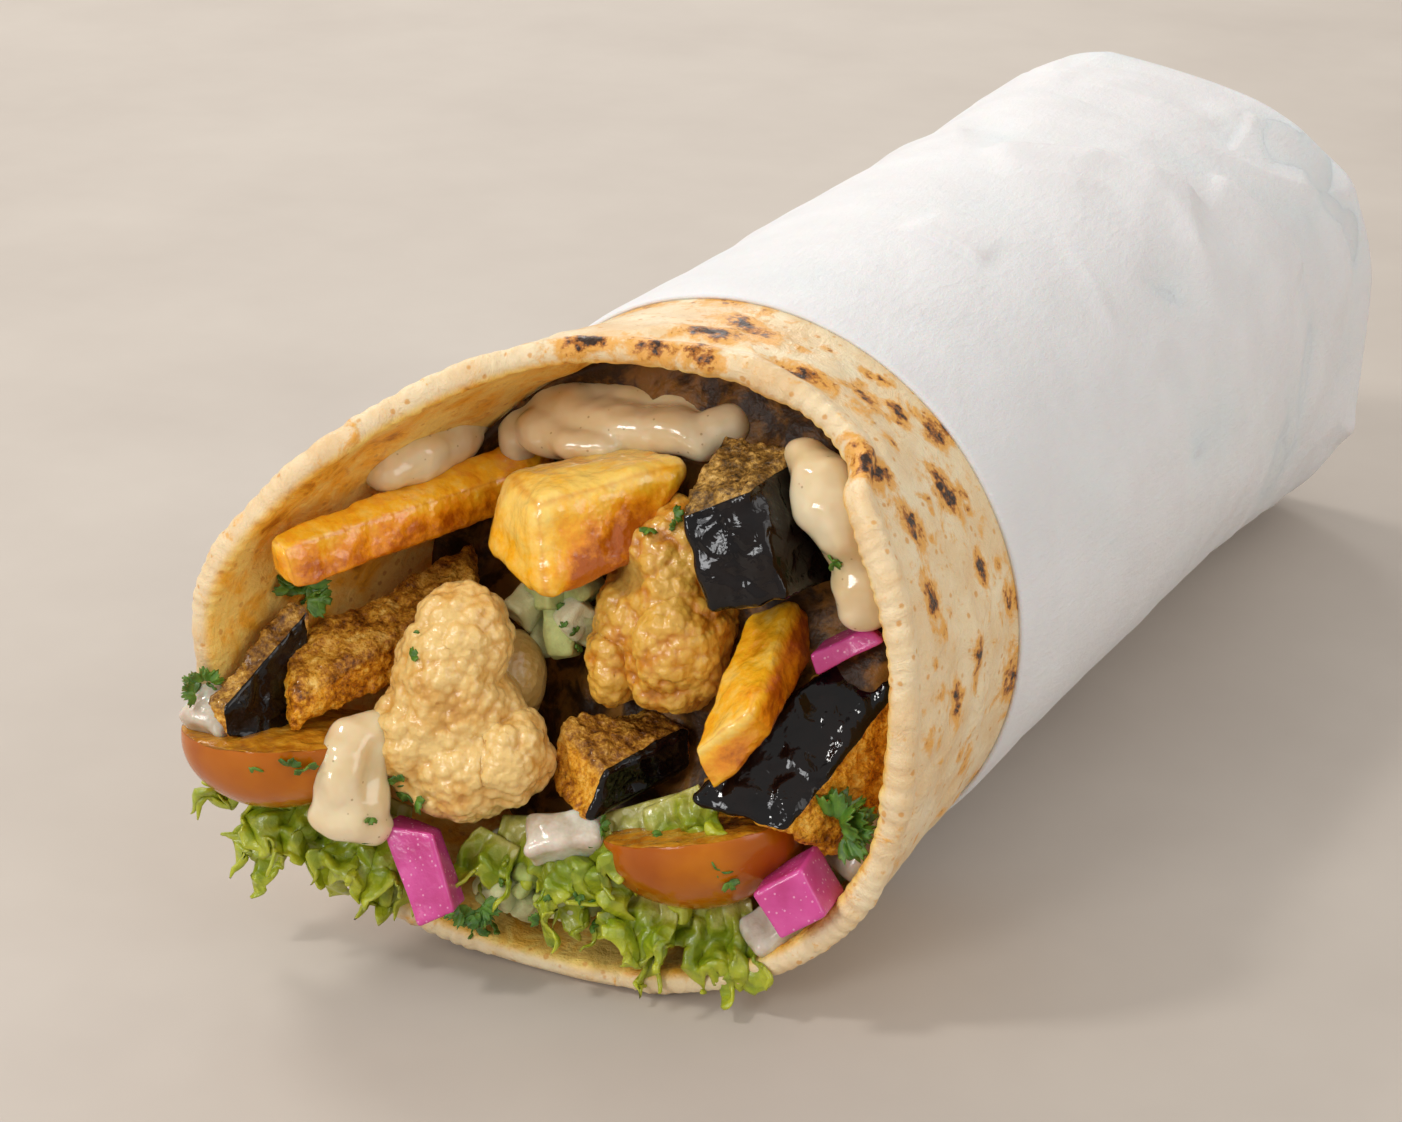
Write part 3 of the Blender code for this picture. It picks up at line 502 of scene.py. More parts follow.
def bread_finish():
    """Pale cream bread: char spots with orange rims, freckles, fine blistered skin, and an inner
    wall painted golden as light shining through the bread.
    """
    skin = Finish("flatbread", Roughness=0.38, Subsurface_Weight=0.15, Subsurface_Scale=0.003,
                  Subsurface_Radius=(1.0, 0.5, 0.2), Specular_IOR_Level=0.4)
    base = skin.ramp(skin.noise(8, 4, 0.6), (0.3, (0.74, 0.50, 0.25)), (0.5, (0.81, 0.62, 0.37)),
                     (0.7, (0.86, 0.72, 0.48)))
    # The inner wall: a saturated golden orange that is painted light shining through the thin
    # bread, over dark char stains
    inside = skin.ramp(skin.noise(7, 4, 0.65, 4.0, warp=0.6), (0.30, (0.52, 0.18, 0.008)),
                       (0.40, (0.90, 0.44, 0.035)), (0.56, (0.96, 0.66, 0.17)))
    base = skin.blend(skin.span(skin.layer("inside"), 0.55, 1.0), base, inside)
    grain = skin.noise(1.5, 4, 0.7, 8.0)
    patch = skin.noise(3.6, 4, 0.65, 5.0, warp=0.8)
    freckles = skin.span(patch + grain * 0.3, 0.74, 0.90)
    base = skin.blend(freckles * 0.65, base, (0.74, 0.40, 0.10))
    dots = skin.span(skin.cells(2.0, 3.0) + patch * 0.5, 0.46, 0.34)
    base = skin.blend(dots * 0.75, base, (0.66, 0.30, 0.05))
    burn = skin.layer("char") + ((grain - 0.5) + (patch - 0.5) * 1.3)
    base = skin.blend(skin.span(burn, 0.06, 0.46) * 0.9, base, (0.78, 0.37, 0.05))
    burn = burn + (skin.noise(1.1, 3, 0.6, 9.0) - 0.5) * 1.6
    base = skin.blend(skin.span(burn, 0.50, 0.80), base, (0.42, 0.14, 0.012))
    core = skin.span(burn, 0.74, 1.02)
    skin.colour(skin.blend(core, base, (0.035, 0.014, 0.005)))
    skin.feed(skin.shader.inputs["Roughness"], skin.span(core, 0, 1, 0.42, 0.32))
    skin.bump(patch, 0.45)
    skin.bump(skin.noise(1.3, 4, 0.65, 3.0), 0.22)
    skin.bump(skin.noise(0.5, 3, 0.6, 1.0), 0.06)
    return skin.material


def paper_finish():
    """White paper: faint fibres and soft crinkles."""
    sheet = Finish("white_paper", Roughness=0.62, Subsurface_Weight=0.15, Subsurface_Scale=0.001,
                   Specular_IOR_Level=0.35)
    sheet.colour(sheet.ramp(sheet.noise(14, 4, 0.6), (0.35, (0.735, 0.715, 0.715)),
                            (0.65, (0.775, 0.76, 0.76))))
    sheet.bump(sheet.noise(7, 3, 0.5, 1.0, (1.0, 2.2, 1.0)), 0.25)
    sheet.bump(sheet.noise(1.1, 4, 0.7, 5.0, (1.0, 2.6, 1.0)), 0.2)
    return sheet.material


def potato_finish():
    """Golden fried potato: faces painted pale where lit and amber where shaded, brown blotches, an
    oily blistered skin.
    """
    crust = Finish("fried_potato", Roughness=0.26, Subsurface_Weight=0.2, Subsurface_Scale=0.003,
                   Subsurface_Radius=(1.0, 0.4, 0.1), Coat_Weight=0.7, Coat_Roughness=0.07)
    speckle = (crust.noise(1.2, 3, 0.7, 6.0) - 0.5) * 0.6
    blotch = (crust.noise(5, 4, 0.6) - 0.5) * 1.5
    # The layer pale is painted light and shade: pale on the lit faces, deep amber on the shaded
    # ones; blotch and speckle are the crust's own
    base = crust.ramp(crust.layer("pale") + (blotch + speckle), (0.0, (0.50, 0.11, 0.001)),
                      (0.28, (0.86, 0.29, 0.003)), (0.6, (0.95, 0.47, 0.015)),
                      (1.0, (0.95, 0.65, 0.15)))
    brown = crust.span(crust.layer("edge") + crust.noise(3.2, 3, 0.6, 2.0) * 1.2, 1.15, 1.7)
    crust.colour(crust.blend(brown * 0.45, base, (0.62, 0.20, 0.004)))
    crust.bump(crust.noise(2.2, 3, 0.55, 3.0), 0.22)
    crust.bump(crust.cells(0.8, 9.0), 0.09)
    return crust.material


def cauliflower_finish(name, dark, middle, light):
    """Fried cauliflower: painted light on the bud tips, painted shade in the clefts, a browner
    stalk deepened by painted shade, spice and crisp spots.
    """
    curd = Finish(name, Roughness=0.30, Subsurface_Weight=0.15, Subsurface_Scale=0.002,
                  Subsurface_Radius=(1.0, 0.5, 0.2), Coat_Weight=0.4, Coat_Roughness=0.12)
    # Painted light and shade: the layer tip makes the bud tips lighter and the clefts between them
    # darker, with a random tone over it
    tone = curd.layer("tip") * 0.62 + curd.noise(7, 4, 0.6) * 1.1
    base = curd.ramp(tone, (0.50, dark), (0.80, middle), (1.0, light))
    # The stalk: its own browner green, made darker as painted shade where it sits back
    base = curd.blend(curd.layer("stalk") * 0.75, base, (0.34, 0.21, 0.05))
    spice = curd.span(curd.cells(1.9, 2.0) + curd.noise(4, 2, 0.5), 0.52, 0.44)
    curd.colour(curd.blend(spice * 0.7, base, dark))
    curd.bump(curd.noise(0.6, 3, 0.6, 3.0), 0.10)
    curd.bump(curd.cells(0.9, 6.0), 0.16)
    return curd.material


def aubergine_finish():
    """Black glossy skin and crisp fried flesh, told apart by the skin layer; painted shade darkens
    the flesh where the layer dark is high.
    """
    fried = Finish("fried_aubergine", Specular_IOR_Level=0.26, Coat_Weight=0.18,
                   Coat_Roughness=0.05)
    ragged = (fried.noise(1.6, 3, 0.6, 1.0) - 0.5) * 0.35
    skin = fried.span(fried.layer("skin") + ragged, 0.44, 0.56)
    tone = fried.noise(4.5, 4, 0.65, 2.0) + (fried.noise(0.8, 3, 0.7, 7.0) - 0.5) * 0.9
    flesh = fried.ramp(tone, (0.24, (0.15, 0.036, 0.002)), (0.42, (0.54, 0.18, 0.006)),
                       (0.56, (0.86, 0.38, 0.018)), (0.8, (0.95, 0.62, 0.13)))
    # Painted shade: a darker copy of the flesh colours, laid over them by the layer dark
    shaded = fried.ramp(tone, (0.3, (0.030, 0.014, 0.004)), (0.5, (0.21, 0.105, 0.022)),
                        (0.66, (0.55, 0.31, 0.07)), (0.85, (0.85, 0.56, 0.20)))
    flesh = fried.blend(fried.layer("dark"), flesh, shaded)
    black = fried.ramp(fried.noise(7, 4, 0.6, 5.0), (0.4, (0.002, 0.0015, 0.002)),
                       (0.75, (0.010, 0.005, 0.004)))
    fried.colour(fried.blend(skin, flesh, black))
    fried.feed(fried.shader.inputs["Roughness"], fried.span(skin, 0, 1, 0.36, 0.07))
    rough = fried.sum("SUBTRACT", 1.0, skin)
    fried.bump(fried.noise(4.5, 2, 0.5, 3.0), 0.55)
    fried.bump(skin * fried.noise(1.9, 2, 0.5, 5.0, warp=0.6), 0.28)
    fried.bump(rough * fried.noise(1.6, 4, 0.65, 3.0), 0.7)
    fried.bump(rough * fried.cells(0.6, 8.0), 0.15)
    return fried.material


def tomato_finish():
    """Orange tomato: smooth skin, and a wet, seedy cut face."""
    fruit = Finish("tomato", Roughness=0.16, Subsurface_Weight=0.15, Subsurface_Scale=0.003,
                   Subsurface_Radius=(1.0, 0.4, 0.05), Specular_IOR_Level=0.4)
    skin = fruit.ramp(fruit.noise(10, 3, 0.5), (0.35, (0.38, 0.085, 0.001)),
                      (0.6, (0.48, 0.13, 0.001)), (0.8, (0.60, 0.20, 0.002)))
    flesh = fruit.ramp(fruit.noise(2.5, 4, 0.6, 3.0), (0.35, (0.36, 0.11, 0.004)),
                       (0.6, (0.56, 0.25, 0.015)), (0.8, (0.76, 0.46, 0.10)))
    cut = fruit.layer("cut")
    fruit.colour(fruit.blend(cut, skin, flesh))
    fruit.bump(cut * fruit.noise(1.8, 3, 0.5, 2.0), 0.5)
    fruit.bump(fruit.noise(4.0, 3, 0.5, 2.0), 0.12)
    return fruit.material


def lettuce_finish():
    """Curly lettuce: bright yellow-green frills, a paler heart and a blistered skin."""
    blade = Finish("lettuce", Roughness=0.30, Subsurface_Weight=0.3, Subsurface_Scale=0.002,
                   Subsurface_Radius=(0.8, 1.0, 0.1), Coat_Weight=0.35, Coat_Roughness=0.12)
    tone = blade.layer("out") + (blade.noise(3.0, 4, 0.6) - 0.5) * 1.1
    blade.colour(blade.ramp(tone, (0.05, (0.50, 0.47, 0.12)), (0.35, (0.30, 0.34, 0.018)),
                            (0.65, (0.20, 0.28, 0.006)), (1.0, (0.44, 0.47, 0.02))))
    blade.bump(blade.cells(1.7, 2.0), 0.40)
    blade.bump(blade.noise(0.8, 4, 0.6, 3.0), 0.15)
    return blade.material


def turnip_finish():
    """Magenta pickled turnip: wet, a little see-through, with pale specks."""
    pickle = Finish("pickled_turnip", Roughness=0.25, Subsurface_Weight=0.35,
                    Subsurface_Scale=0.004, Subsurface_Radius=(1.0, 0.25, 0.6), Coat_Weight=0.3,
                    Coat_Roughness=0.12)
    base = pickle.ramp(pickle.noise(5, 3, 0.5), (0.35, (0.50, 0.035, 0.20)),
                       (0.6, (0.62, 0.07, 0.30)), (0.8, (0.72, 0.14, 0.40)))
    speck = pickle.span(pickle.cells(0.8, 3.0), 0.22, 0.10)
    pickle.colour(pickle.blend(speck * 0.5, base, (0.90, 0.55, 0.72)))
    pickle.bump(pickle.noise(1.2, 3, 0.6), 0.12)
    return pickle.material


def onion_finish():
    """Wet white onion, see-through at its edges."""
    chunk = Finish("onion", Roughness=0.22, Subsurface_Weight=0.5, Subsurface_Scale=0.004,
                   Coat_Weight=0.4, Coat_Roughness=0.1)
    chunk.colour(chunk.ramp(chunk.noise(3, 3, 0.6), (0.35, (0.48, 0.40, 0.29)),
                            (0.7, (0.74, 0.68, 0.58))))
    chunk.bump(chunk.noise(1.5, 3, 0.6, 2.0), 0.15)
    return chunk.material


def tahini_finish():
    """Glossy beige sauce with fine dark specks."""
    sauce = Finish("tahini", Roughness=0.14, Subsurface_Weight=0.3, Subsurface_Scale=0.003,
                   Coat_Weight=0.5, Coat_Roughness=0.06)
    base = sauce.ramp(sauce.noise(7, 3, 0.5), (0.35, (0.72, 0.54, 0.29)),
                      (0.65, (0.84, 0.70, 0.46)))
    speck = sauce.span(sauce.cells(1.7, 1.0), 0.12, 0.06)
    sauce.colour(sauce.blend(speck * 0.55, base, (0.30, 0.16, 0.05)))
    sauce.bump(sauce.noise(2.5, 2, 0.5, 2.0), 0.1)
    return sauce.material


def parsley_finish():
    """Deep green chopped parsley."""
    herb = Finish("parsley", Roughness=0.45, Subsurface_Weight=0.2, Subsurface_Scale=0.002)
    herb.colour(herb.ramp(herb.noise(1.5, 3, 0.6), (0.35, (0.035, 0.11, 0.008)),
                          (0.7, (0.12, 0.26, 0.02))))
    herb.bump(herb.noise(0.6, 3, 0.6), 0.08)
    return herb.material


def salad_finish():
    """Chopped salad: each cube its own tone, over an oily ground whose near-black brown is partly
    sauce-soaked filling and partly painted shade.
    """
    heap = Finish("chopped_salad", Roughness=0.42, Subsurface_Weight=0.2, Subsurface_Scale=0.003,
                  Specular_IOR_Level=0.2)
    tone = heap.layer("tone")
    base = heap.ramp(tone, (0.0, CORE_TONE), (0.12, CORE_TONE),
                     (0.2, (0.18, 0.24, 0.03)), (0.5, (0.42, 0.48, 0.14)),
                     (0.75, (0.66, 0.62, 0.40)), (1.0, (0.45, 0.20, 0.04)))
    mottle = heap.span(heap.noise(2.0, 4, 0.65), 0.45, 0.85, 0.0, 0.5)
    base = heap.blend(mottle, base, (0.16, 0.07, 0.015))
    oily = (heap.span(heap.noise(5.0, 4, 0.65, 6.0, warp=0.6), 0.42, 0.62)
            * heap.span(tone, 0.12, 0.0, 0.0, 0.75))
    heap.colour(heap.blend(oily, base, (0.30, 0.13, 0.02)))
    heap.bump(heap.noise(3.0, 4, 0.6, 3.0), 0.5)
    return heap.material


def floor_finish():
    """A plain pale floor."""
    ground = Finish("pale_floor", Roughness=0.7)
    ground.colour(ground.ramp(ground.noise(60, 4, 0.6), (0.3, (0.50, 0.44, 0.385)),
                              (0.7, (0.55, 0.49, 0.43))))
    return ground.material


# The roll's shape

def superellipse(angle, half_width, half_height, power):
    across, up = np.cos(angle), np.sin(angle)
    return (np.sign(across) * half_width * np.abs(across) ** (2 / power),
            np.sign(up) * half_height * np.abs(up) ** (2 / power))


def rim_y(angle):
    """How far the rim reaches along Y: furthest on the left, and a step where the roll laps."""
    from_seam = (angle - SEAM_ANGLE + math.pi) % FULL_TURN - math.pi
    step = SEAM_STEP * np.tanh(from_seam / SEAM_WIDTH) * np.exp(-(from_seam / SEAM_FADE) ** 2)
    return (-55.4 + 10.6 * np.cos(angle) + 6.2 * np.sin(angle) - 5.9 * np.cos(2 * angle)
            + 2.5 * np.sin(2 * angle) - 2.4 * np.sin(3 * angle) + step)


def wrap_points(angle, y, inset):
    """Points on the wrap's outside at angles round its axis, moved inward by inset."""
    angle, y, inset = np.broadcast_arrays(angle, y, inset)
    across = (ROLL_RADIUS - inset) * np.cos(angle)
    height = AXIS_HEIGHT + (ROLL_RADIUS - inset) * np.sin(angle)

    far = smooth_step((y - BOXY_FROM_Y) / (PAPER_BACK_Y - BOXY_FROM_Y))
    end_x, end_up = superellipse(angle, END_HALF_WIDTH - inset, END_HALF_HEIGHT - inset, END_POWER)
    end_z = (END_HALF_HEIGHT + end_up) * (1 - END_LEAN * np.maximum(end_x - END_LEAN_FROM_X, 0))
    across, height = mix(across, end_x, far), mix(height, end_z, far)

    near = smooth_step((FLARE_Y - y) / (FLARE_Y - rim_y(angle)))
    left = np.maximum(0, -np.cos(angle))
    power = MOUTH_POWER + 2 * left * (MOUTH_SQUARE_CORNER * np.maximum(0, -np.sin(angle))
                                      - MOUTH_ROUND_CORNER * np.maximum(0, np.sin(angle)))
    inward = inset - BREAD_INSET
    mouth_x, mouth_up = superellipse(angle, MOUTH_HALF_WIDTH - inward, MOUTH_HALF_HEIGHT - inward,
                                     power)
    across = mix(across, MOUTH_CENTRE_X + mouth_x, near)
    height = mix(height, MOUTH_CENTRE_Z + mouth_up, near)
    lowest = mix(inset, inward + 0.1, near)
    return np.stack([across, y, np.maximum(height, lowest)], axis=-1)


def ring_angles(count):
    return FULL_TURN * np.arange(count) / count - math.pi / 2


def kept_inside(points, inset):
    """Points drawn towards the roll's middle where they would pass a skin under its outside."""
    middle = np.array([ROLL_MIDDLE_X, AXIS_HEIGHT])
    wall = wrap_points(ring_angles(240)[None, :], points[:, 1:2], inset)[..., [0, 2]] - middle
    own = points[:, [0, 2]] - middle
    turn = np.arctan2(own[:, 1], own[:, 0])[:, None] - np.arctan2(wall[..., 1], wall[..., 0])
    nearest = np.argmax(np.cos(turn), axis=1)
    limit = np.linalg.norm(wall[np.arange(len(points)), nearest], axis=1)
    share = np.minimum(1, limit / np.maximum(np.linalg.norm(own, axis=1), 1e-6))
    kept = points.copy()
    kept[:, [0, 2]] = middle + own * share[:, None]
    return kept


# Flatbread

# Charred spots: their pixel in the picture, and their width in millimetres
CHARRED = ((646, 305, 6.4), (737, 298, 6.4), (745, 325, 5.6), (716, 333, 5.6), (590, 340, 4.6),
           (579, 349, 4.0), (555, 329, 4.6), (652, 349, 5.4), (702, 358, 4.6), (585, 369, 3.8),
           (802, 375, 5.0), (866, 399, 3.4), (898, 410, 2.6), (934, 433, 3.6), (866, 461, 5.4),
           (878, 470, 4.0), (946, 491, 4.6), (912, 525, 4.6), (992, 494, 3.6), (980, 565, 3.0),
           (931, 598, 3.6), (1009, 601, 3.0), (980, 657, 3.4), (958, 699, 3.6), (1010, 681, 4.0),
           (995, 748, 3.6), (550, 940, 4.4), (500, 920, 3.0))
# More of them, large on the far side and small all over: how many, the least turn round the roll,
# how far from the rim and from the paper, and their least and greatest width
HIDDEN_CHAR = ((26, 2.2, 6, 2, (2.6, 4.6)), (150, -0.9, 2, 1, (0.9, 2.1)))
LARGE_CHAR = 2.2
BREAD_LOWEST = 0.12


def flatbread(finish):
    """Bread with a beaded, rounded lip: fine where it shows, plain under the paper."""
    columns = int(530 / DETAIL)
    angle = ring_angles(columns)[None, :]
    lip_y = rim_y(angle) + LIP_THICKNESS / 2
    inside = BREAD_INSET + BREAD_THICKNESS
    lip_inside = BREAD_INSET + LIP_THICKNESS
    half = LIP_THICKNESS / 2
    hidden = (BREAD_BACK_Y, *HIDDEN_Y, -10.0)

    # Each row is its y, its inset and how far it counts as the inside
    rows = [(y, inside, 0.0) for y in hidden]
    for share in np.linspace(0, 1, int(34 / DETAIL)):
        rows.append((mix(FLARE_Y, lip_y, share), mix(inside, lip_inside, smooth_step(share)), 1.0))
    for turn in np.linspace(0, math.pi, int(14 / DETAIL) + 2)[1:-1]:
        rows.append((lip_y - half * math.sin(turn), lip_inside - half * (1 - math.cos(turn)),
                     0.5 + 0.5 * math.cos(turn)))
    for share in np.linspace(1, 0, int(70 / DETAIL)):
        rows.append((mix(FLARE_Y + 1, lip_y, share), BREAD_INSET, 0.0))
    rows += [(y, BREAD_INSET, 0.0) for y in reversed(hidden)]
    points = np.concatenate([wrap_points(angle, y, inset).reshape(-1, 3) for y, inset, _ in rows])
    faces = ring_faces(len(rows), columns, closed_rows=True)[:, ::-1]
    inner = np.repeat([mark for _, _, mark in rows], columns)

    angles = np.tile(angle.reshape(-1), len(rows))
    from_lip = points[:, 1] - rim_y(angles)
    shown = smooth_step((PAPER_FRONT_Y - 1.5 - points[:, 1]) / 4)
    around = angles * RIM_RADIUS
    flat = np.stack([around, np.zeros_like(around), np.zeros_like(around)], axis=1)
    bead = np.abs(np.sin(math.pi * around / 1.9 + 2.4 * soft_noise(flat, 7.0, 3)))
    bead = (0.34 * (bead - 0.6) * np.exp(-(from_lip / 2.0) ** 2)
            * (0.7 + 0.9 * soft_noise(flat, 9, 5)))
    hem = (0.45 * np.exp(-((from_lip - 1.4) / 1.7) ** 2)
           - 0.45 * np.exp(-((from_lip - 4.6) / 1.3) ** 2))
    swell = 0.40 * soft_noise(points, 13, 1) + 0.20 * soft_noise(points, 4.5, 2)
    swell += 0.10 * soft_noise(points, 2.0, 8)
    blister = np.maximum(0, soft_noise(points, 7, 9) - 0.30)
    relief = (swell + blister + hem * (1 - inner) + bead) * shown
    relief = np.where(points[:, 2] < 1.0, np.minimum(relief, 0), relief)
    points = pushed(points, faces, relief)
    points[:, 2] = np.maximum(points[:, 2], BREAD_LOWEST)

    tree = BVHTree.FromPolygons(points.tolist(), faces.tolist())
    char = np.zeros(len(points))
    dice = random.Random(4)
    spots = [(spot_on(tree, pixel)[0], width) for *pixel, width in CHARRED]
    for count, from_turn, from_rim, from_paper, widths in HIDDEN_CHAR:
        for _ in range(count):
            turn = dice.uniform(from_turn, 4.9)
            y = dice.uniform(rim_y(turn) + from_rim, PAPER_FRONT_Y - from_paper)
            spots.append((wrap_points(turn, y, BREAD_INSET), dice.uniform(*widths)))
    for spot, width in spots:
        if spot is None:
            continue
        large = width > LARGE_CHAR
        lean = dice.uniform(-0.5, 0.5)
        away = (points - spot) * (1.0, 1.0 + 0.5 * large, 1.0)
        away[:, 0] += lean * away[:, 1]
        away = np.linalg.norm(away, axis=1) / width
        char = np.maximum(char, (1.0 if large else 0.55) * np.exp(-(away / 0.72) ** 2))
    make_piece("flatbread_baked", points, faces, finish, ("flatbread",),
               {"inside": inner, "char": char * (1 - inner)})


# Paper

def along_line(around, y, start, end):
    """How far places are along a line and across it, and the line's length."""
    way = np.array(end, float) - np.array(start, float)
    length = np.linalg.norm(way)
    way /= length
    along = (around - start[0]) * way[0] + (y - start[1]) * way[1]
    return along, (around - start[0]) * -way[1] + (y - start[1]) * way[0], length


def crease(line, height, width):
    """A sharp straight fold along a line, fading at its ends."""
    along, across, length = line
    reach = np.clip(along / length, 0, 1)
    beyond = np.abs(along - reach * length)
    fade = np.sin(math.pi * np.clip(reach, 0.04, 0.96)) ** 0.6 * np.exp(-(beyond / 3) ** 2)
    return height * fade * np.maximum(0, 1 - np.abs(across) / width) ** 1.3


def fold(line, height, width):
    """The edge of an overlap: it drops at once on one side and runs out slowly on the other."""
    along, across, length = line
    across = across * math.copysign(1, width)
    fade = smooth_step(along / 3) * smooth_step((length - along) / 3)
    profile = np.where(across > 0, 1 - across / abs(width), 1 + across / 0.8)
    return height * fade * np.maximum(0, profile)


# Folds that show in the picture: their two ends there, their height and how far they run out
PAPER_FOLDS = (((980, 150), (1202, 204), 1.1, 14),
               ((1130, 121), (1218, 80), 0.7, 9), ((850, 166), (1136, 149), 0.5, 12),
               ((986, 266), (900, 227), 0.8, 12), ((1208, 170), (1304, 270), 0.9, 16),
               ((1150, 602), (1218, 550), 0.8, 9), ((1214, 556), (1246, 472), 0.8, 10),
               ((1298, 160), (1340, 165), 0.5, 6), ((1150, 60), (1190, 118), 0.4, 8),
               ((1252, 112), (1230, 152), 0.5, -7))
# The pleated end's rings, outside and inside the paper, as (share of the end's width, y)
END_OUTSIDE = ((0.965, 131.6), (0.90, 132.6), (0.7, 133.1), (0.45, 133.3), (0.2, 133.0),
               (0.04, 132.9))
END_INSIDE = ((0.04, 132.4), (0.45, 132.8), (0.90, 132.1))


def paper(finish):
    """A thin paper sleeve: smooth over the roll, creased and tucked in at the far end."""
    columns, lines = int(300 / DETAIL), int(195 / DETAIL)
    angle = ring_angles(columns)[None, :]
    turn, y = np.broadcast_arrays(angle, np.linspace(PAPER_FRONT_Y, PAPER_BACK_Y, lines)[:, None])
    shell = wrap_points(turn, y, 0.0)
    around = turn * ROLL_RADIUS
    outward = np.stack([np.cos(turn), 0 * turn, np.sin(turn)], axis=-1)
    flat = shell.reshape(-1, 3)
    lift = 0.35 * soft_noise(flat, 26, 41) + 0.12 * soft_noise(flat, 9, 42)
    lift = lift.reshape(shell.shape[:2])
    dice = random.Random(8)
    for _ in range(70):
        far = dice.random() ** 0.6
        middle = np.array([dice.uniform(-20, 140), mix(-10, 128, far)])
        reach = dice.uniform(8, 26)
        heading = dice.uniform(0, math.pi)
        step = np.array([reach * math.cos(heading) / 2, reach * math.sin(heading) / 2])
        lift = lift + crease(along_line(around, y, middle - step, middle + step),
                             dice.uniform(-0.5, 0.7) * (0.4 + far), dice.uniform(3, 9))
    tree = BVHTree.FromPolygons(flat.tolist(), ring_faces(lines, columns).tolist())
    for start, end, height, width in PAPER_FOLDS:
        spots = [spot_on(tree, pixel)[0] for pixel in (start, end)]
        if spots[0] is None or spots[1] is None:
            continue
        nearest = [np.argmin(np.linalg.norm(flat - spot, axis=1)) for spot in spots]
        places = np.stack([around.reshape(-1), y.reshape(-1)], axis=1)[nearest]
        lift = lift + fold(along_line(around, y, *places), height, width)
    crumpled = mix(0.25, 1.0, smooth_step((y - 15) / 80))
    for turned, size, amount in ((0.5, 22, 1.0), (-0.4, 13, 0.6), (1.3, 17, 0.5)):
        drawn = np.stack([around * math.cos(turned) + y * math.sin(turned),
                          0.4 * (y * math.cos(turned) - around * math.sin(turned)),
                          0 * y], axis=-1).reshape(-1, 3)
        lift = lift - (amount * crumpled
                       * (np.abs(soft_noise(drawn, size, 43 + size)) - 0.25).reshape(lift.shape))
    edge = smooth_step((y - PAPER_FRONT_Y) / 8)
    rest = smooth_step((shell[..., 2] - 2) / 6)
    hug = 0.3 * np.exp(-(y - PAPER_FRONT_Y) / 1.5)
    shell = shell + outward * (lift * edge * rest - hug)[..., None]

    rings = list(shell)
    end_centre = np.array([0.0, 0.0, END_HALF_HEIGHT])
    last = wrap_points(angle[0], PAPER_BACK_Y, 0.0)
    for share, back in END_OUTSIDE + END_INSIDE:
        ring = end_centre + (last - end_centre) * share
        ring[:, 1] = back + 0.9 * np.abs(np.sin(2.0 * angle[0] + 0.6)) * (1 - share)
        rings.append(ring)
    outer_rows = lines + len(END_OUTSIDE)
    for back in (PAPER_BACK_Y - PAPER_THICKNESS, *HIDDEN_Y, PAPER_FRONT_Y + 6):
        rings.append(wrap_points(angle[0], back, PAPER_THICKNESS))
    rings.append(wrap_points(angle[0], PAPER_FRONT_Y, BREAD_INSET))
    points = np.concatenate(rings)
    points[:, 2] = np.maximum(points[:, 2], 0.0)
    faces = ring_faces(len(rings), columns, closed_rows=True)
    row = np.arange(len(faces)) // columns
    faces = np.concatenate([faces[row != outer_rows - 1],
                            ring_cap((outer_rows - 1) * columns, columns),
                            ring_cap(outer_rows * columns, columns)[:, ::-1]])
    make_piece("paper_wrapped", points, faces[:, ::-1], finish, ("paper_sleeve",))


# Fried pieces

# Each piece has the roundness of its edges and its corners, which are (pixel across, pixel down,
# depth in the mouth's frame): the near end's front top, front bottom, back top and back bottom,
# then the far end's
POTATO = {
    "fry_long": (1.0, (
        (283, 549, 9.0), (297, 592, 8.0), (268, 536, 8.0), (274, 572, 5.5),
        (540, 466, -20), (540, 501, -20), (565, 418, -29), (565, 456, -30))),
    "potato_wedge": (2.6, (
        (530, 502, 2.0), (548, 612, 1.5), (503, 466, -8), (474, 552, -6),
        (708, 454, -11), (638, 566, -6), (618, 440, -19), (636, 510, -17))),
    "fry_right": (1.0, (
        (750, 711, 7), (690, 752, 6), (772, 733, 3), (711, 800, 4),
        (793, 600, -8), (750, 608, -9), (828, 627, -13), (785, 645, -15))),
}
# These also have how much painted shade darkens their flesh, and where they have skin
AUBERGINE = {
    "aubergine_golden": (1.2, 0.0, "none", (
        (299, 697, 6.5), (292, 734, 6), (282, 640, 0), (283, 700, 0),
        (480, 590, -14), (470, 655, -13), (474, 537, -21), (470, 600, -22))),
    "aubergine_left": (0.6, 0.35, "front", (
        (224, 708, 10), (227, 740, 9.5), (208, 702, 9), (212, 714, 8.5),
        (312, 606, -1.5), (304, 744, 0.5), (290, 596, -0.5), (310, 690, -4))),
    "aubergine_cube": (0.9, 0.75, "but_top", (
        (677, 512, 2.5), (711, 614, 2.5), (722, 428, -10), (735, 560, -10),
        (747, 485, 3), (787, 600, 2.5), (799, 449, -8), (840, 583, -7))),
    "aubergine_mid": (1.0, 0.2, "front", (
        (605, 773, 1), (586, 826, 1), (557, 714, -5), (550, 792, -4),
        (686, 730, -9), (694, 766, -8), (660, 704, -14), (680, 742, -15))),
    "aubergine_right": (1.1, 0.1, "front", (
        (686, 802, 3), (782, 833, 4), (720, 770, -6), (838, 858, -3),
        (848, 646, -8), (899, 682, -7), (870, 640, -16), (924, 765, -11))),
    "aubergine_back": (1.0, 1.0, "all", (
        (606, 376, -20), (618, 408, -20), (612, 362, -28), (622, 392, -28),
        (745, 392, -20), (750, 420, -20), (740, 375, -28), (745, 402, -28))),
}
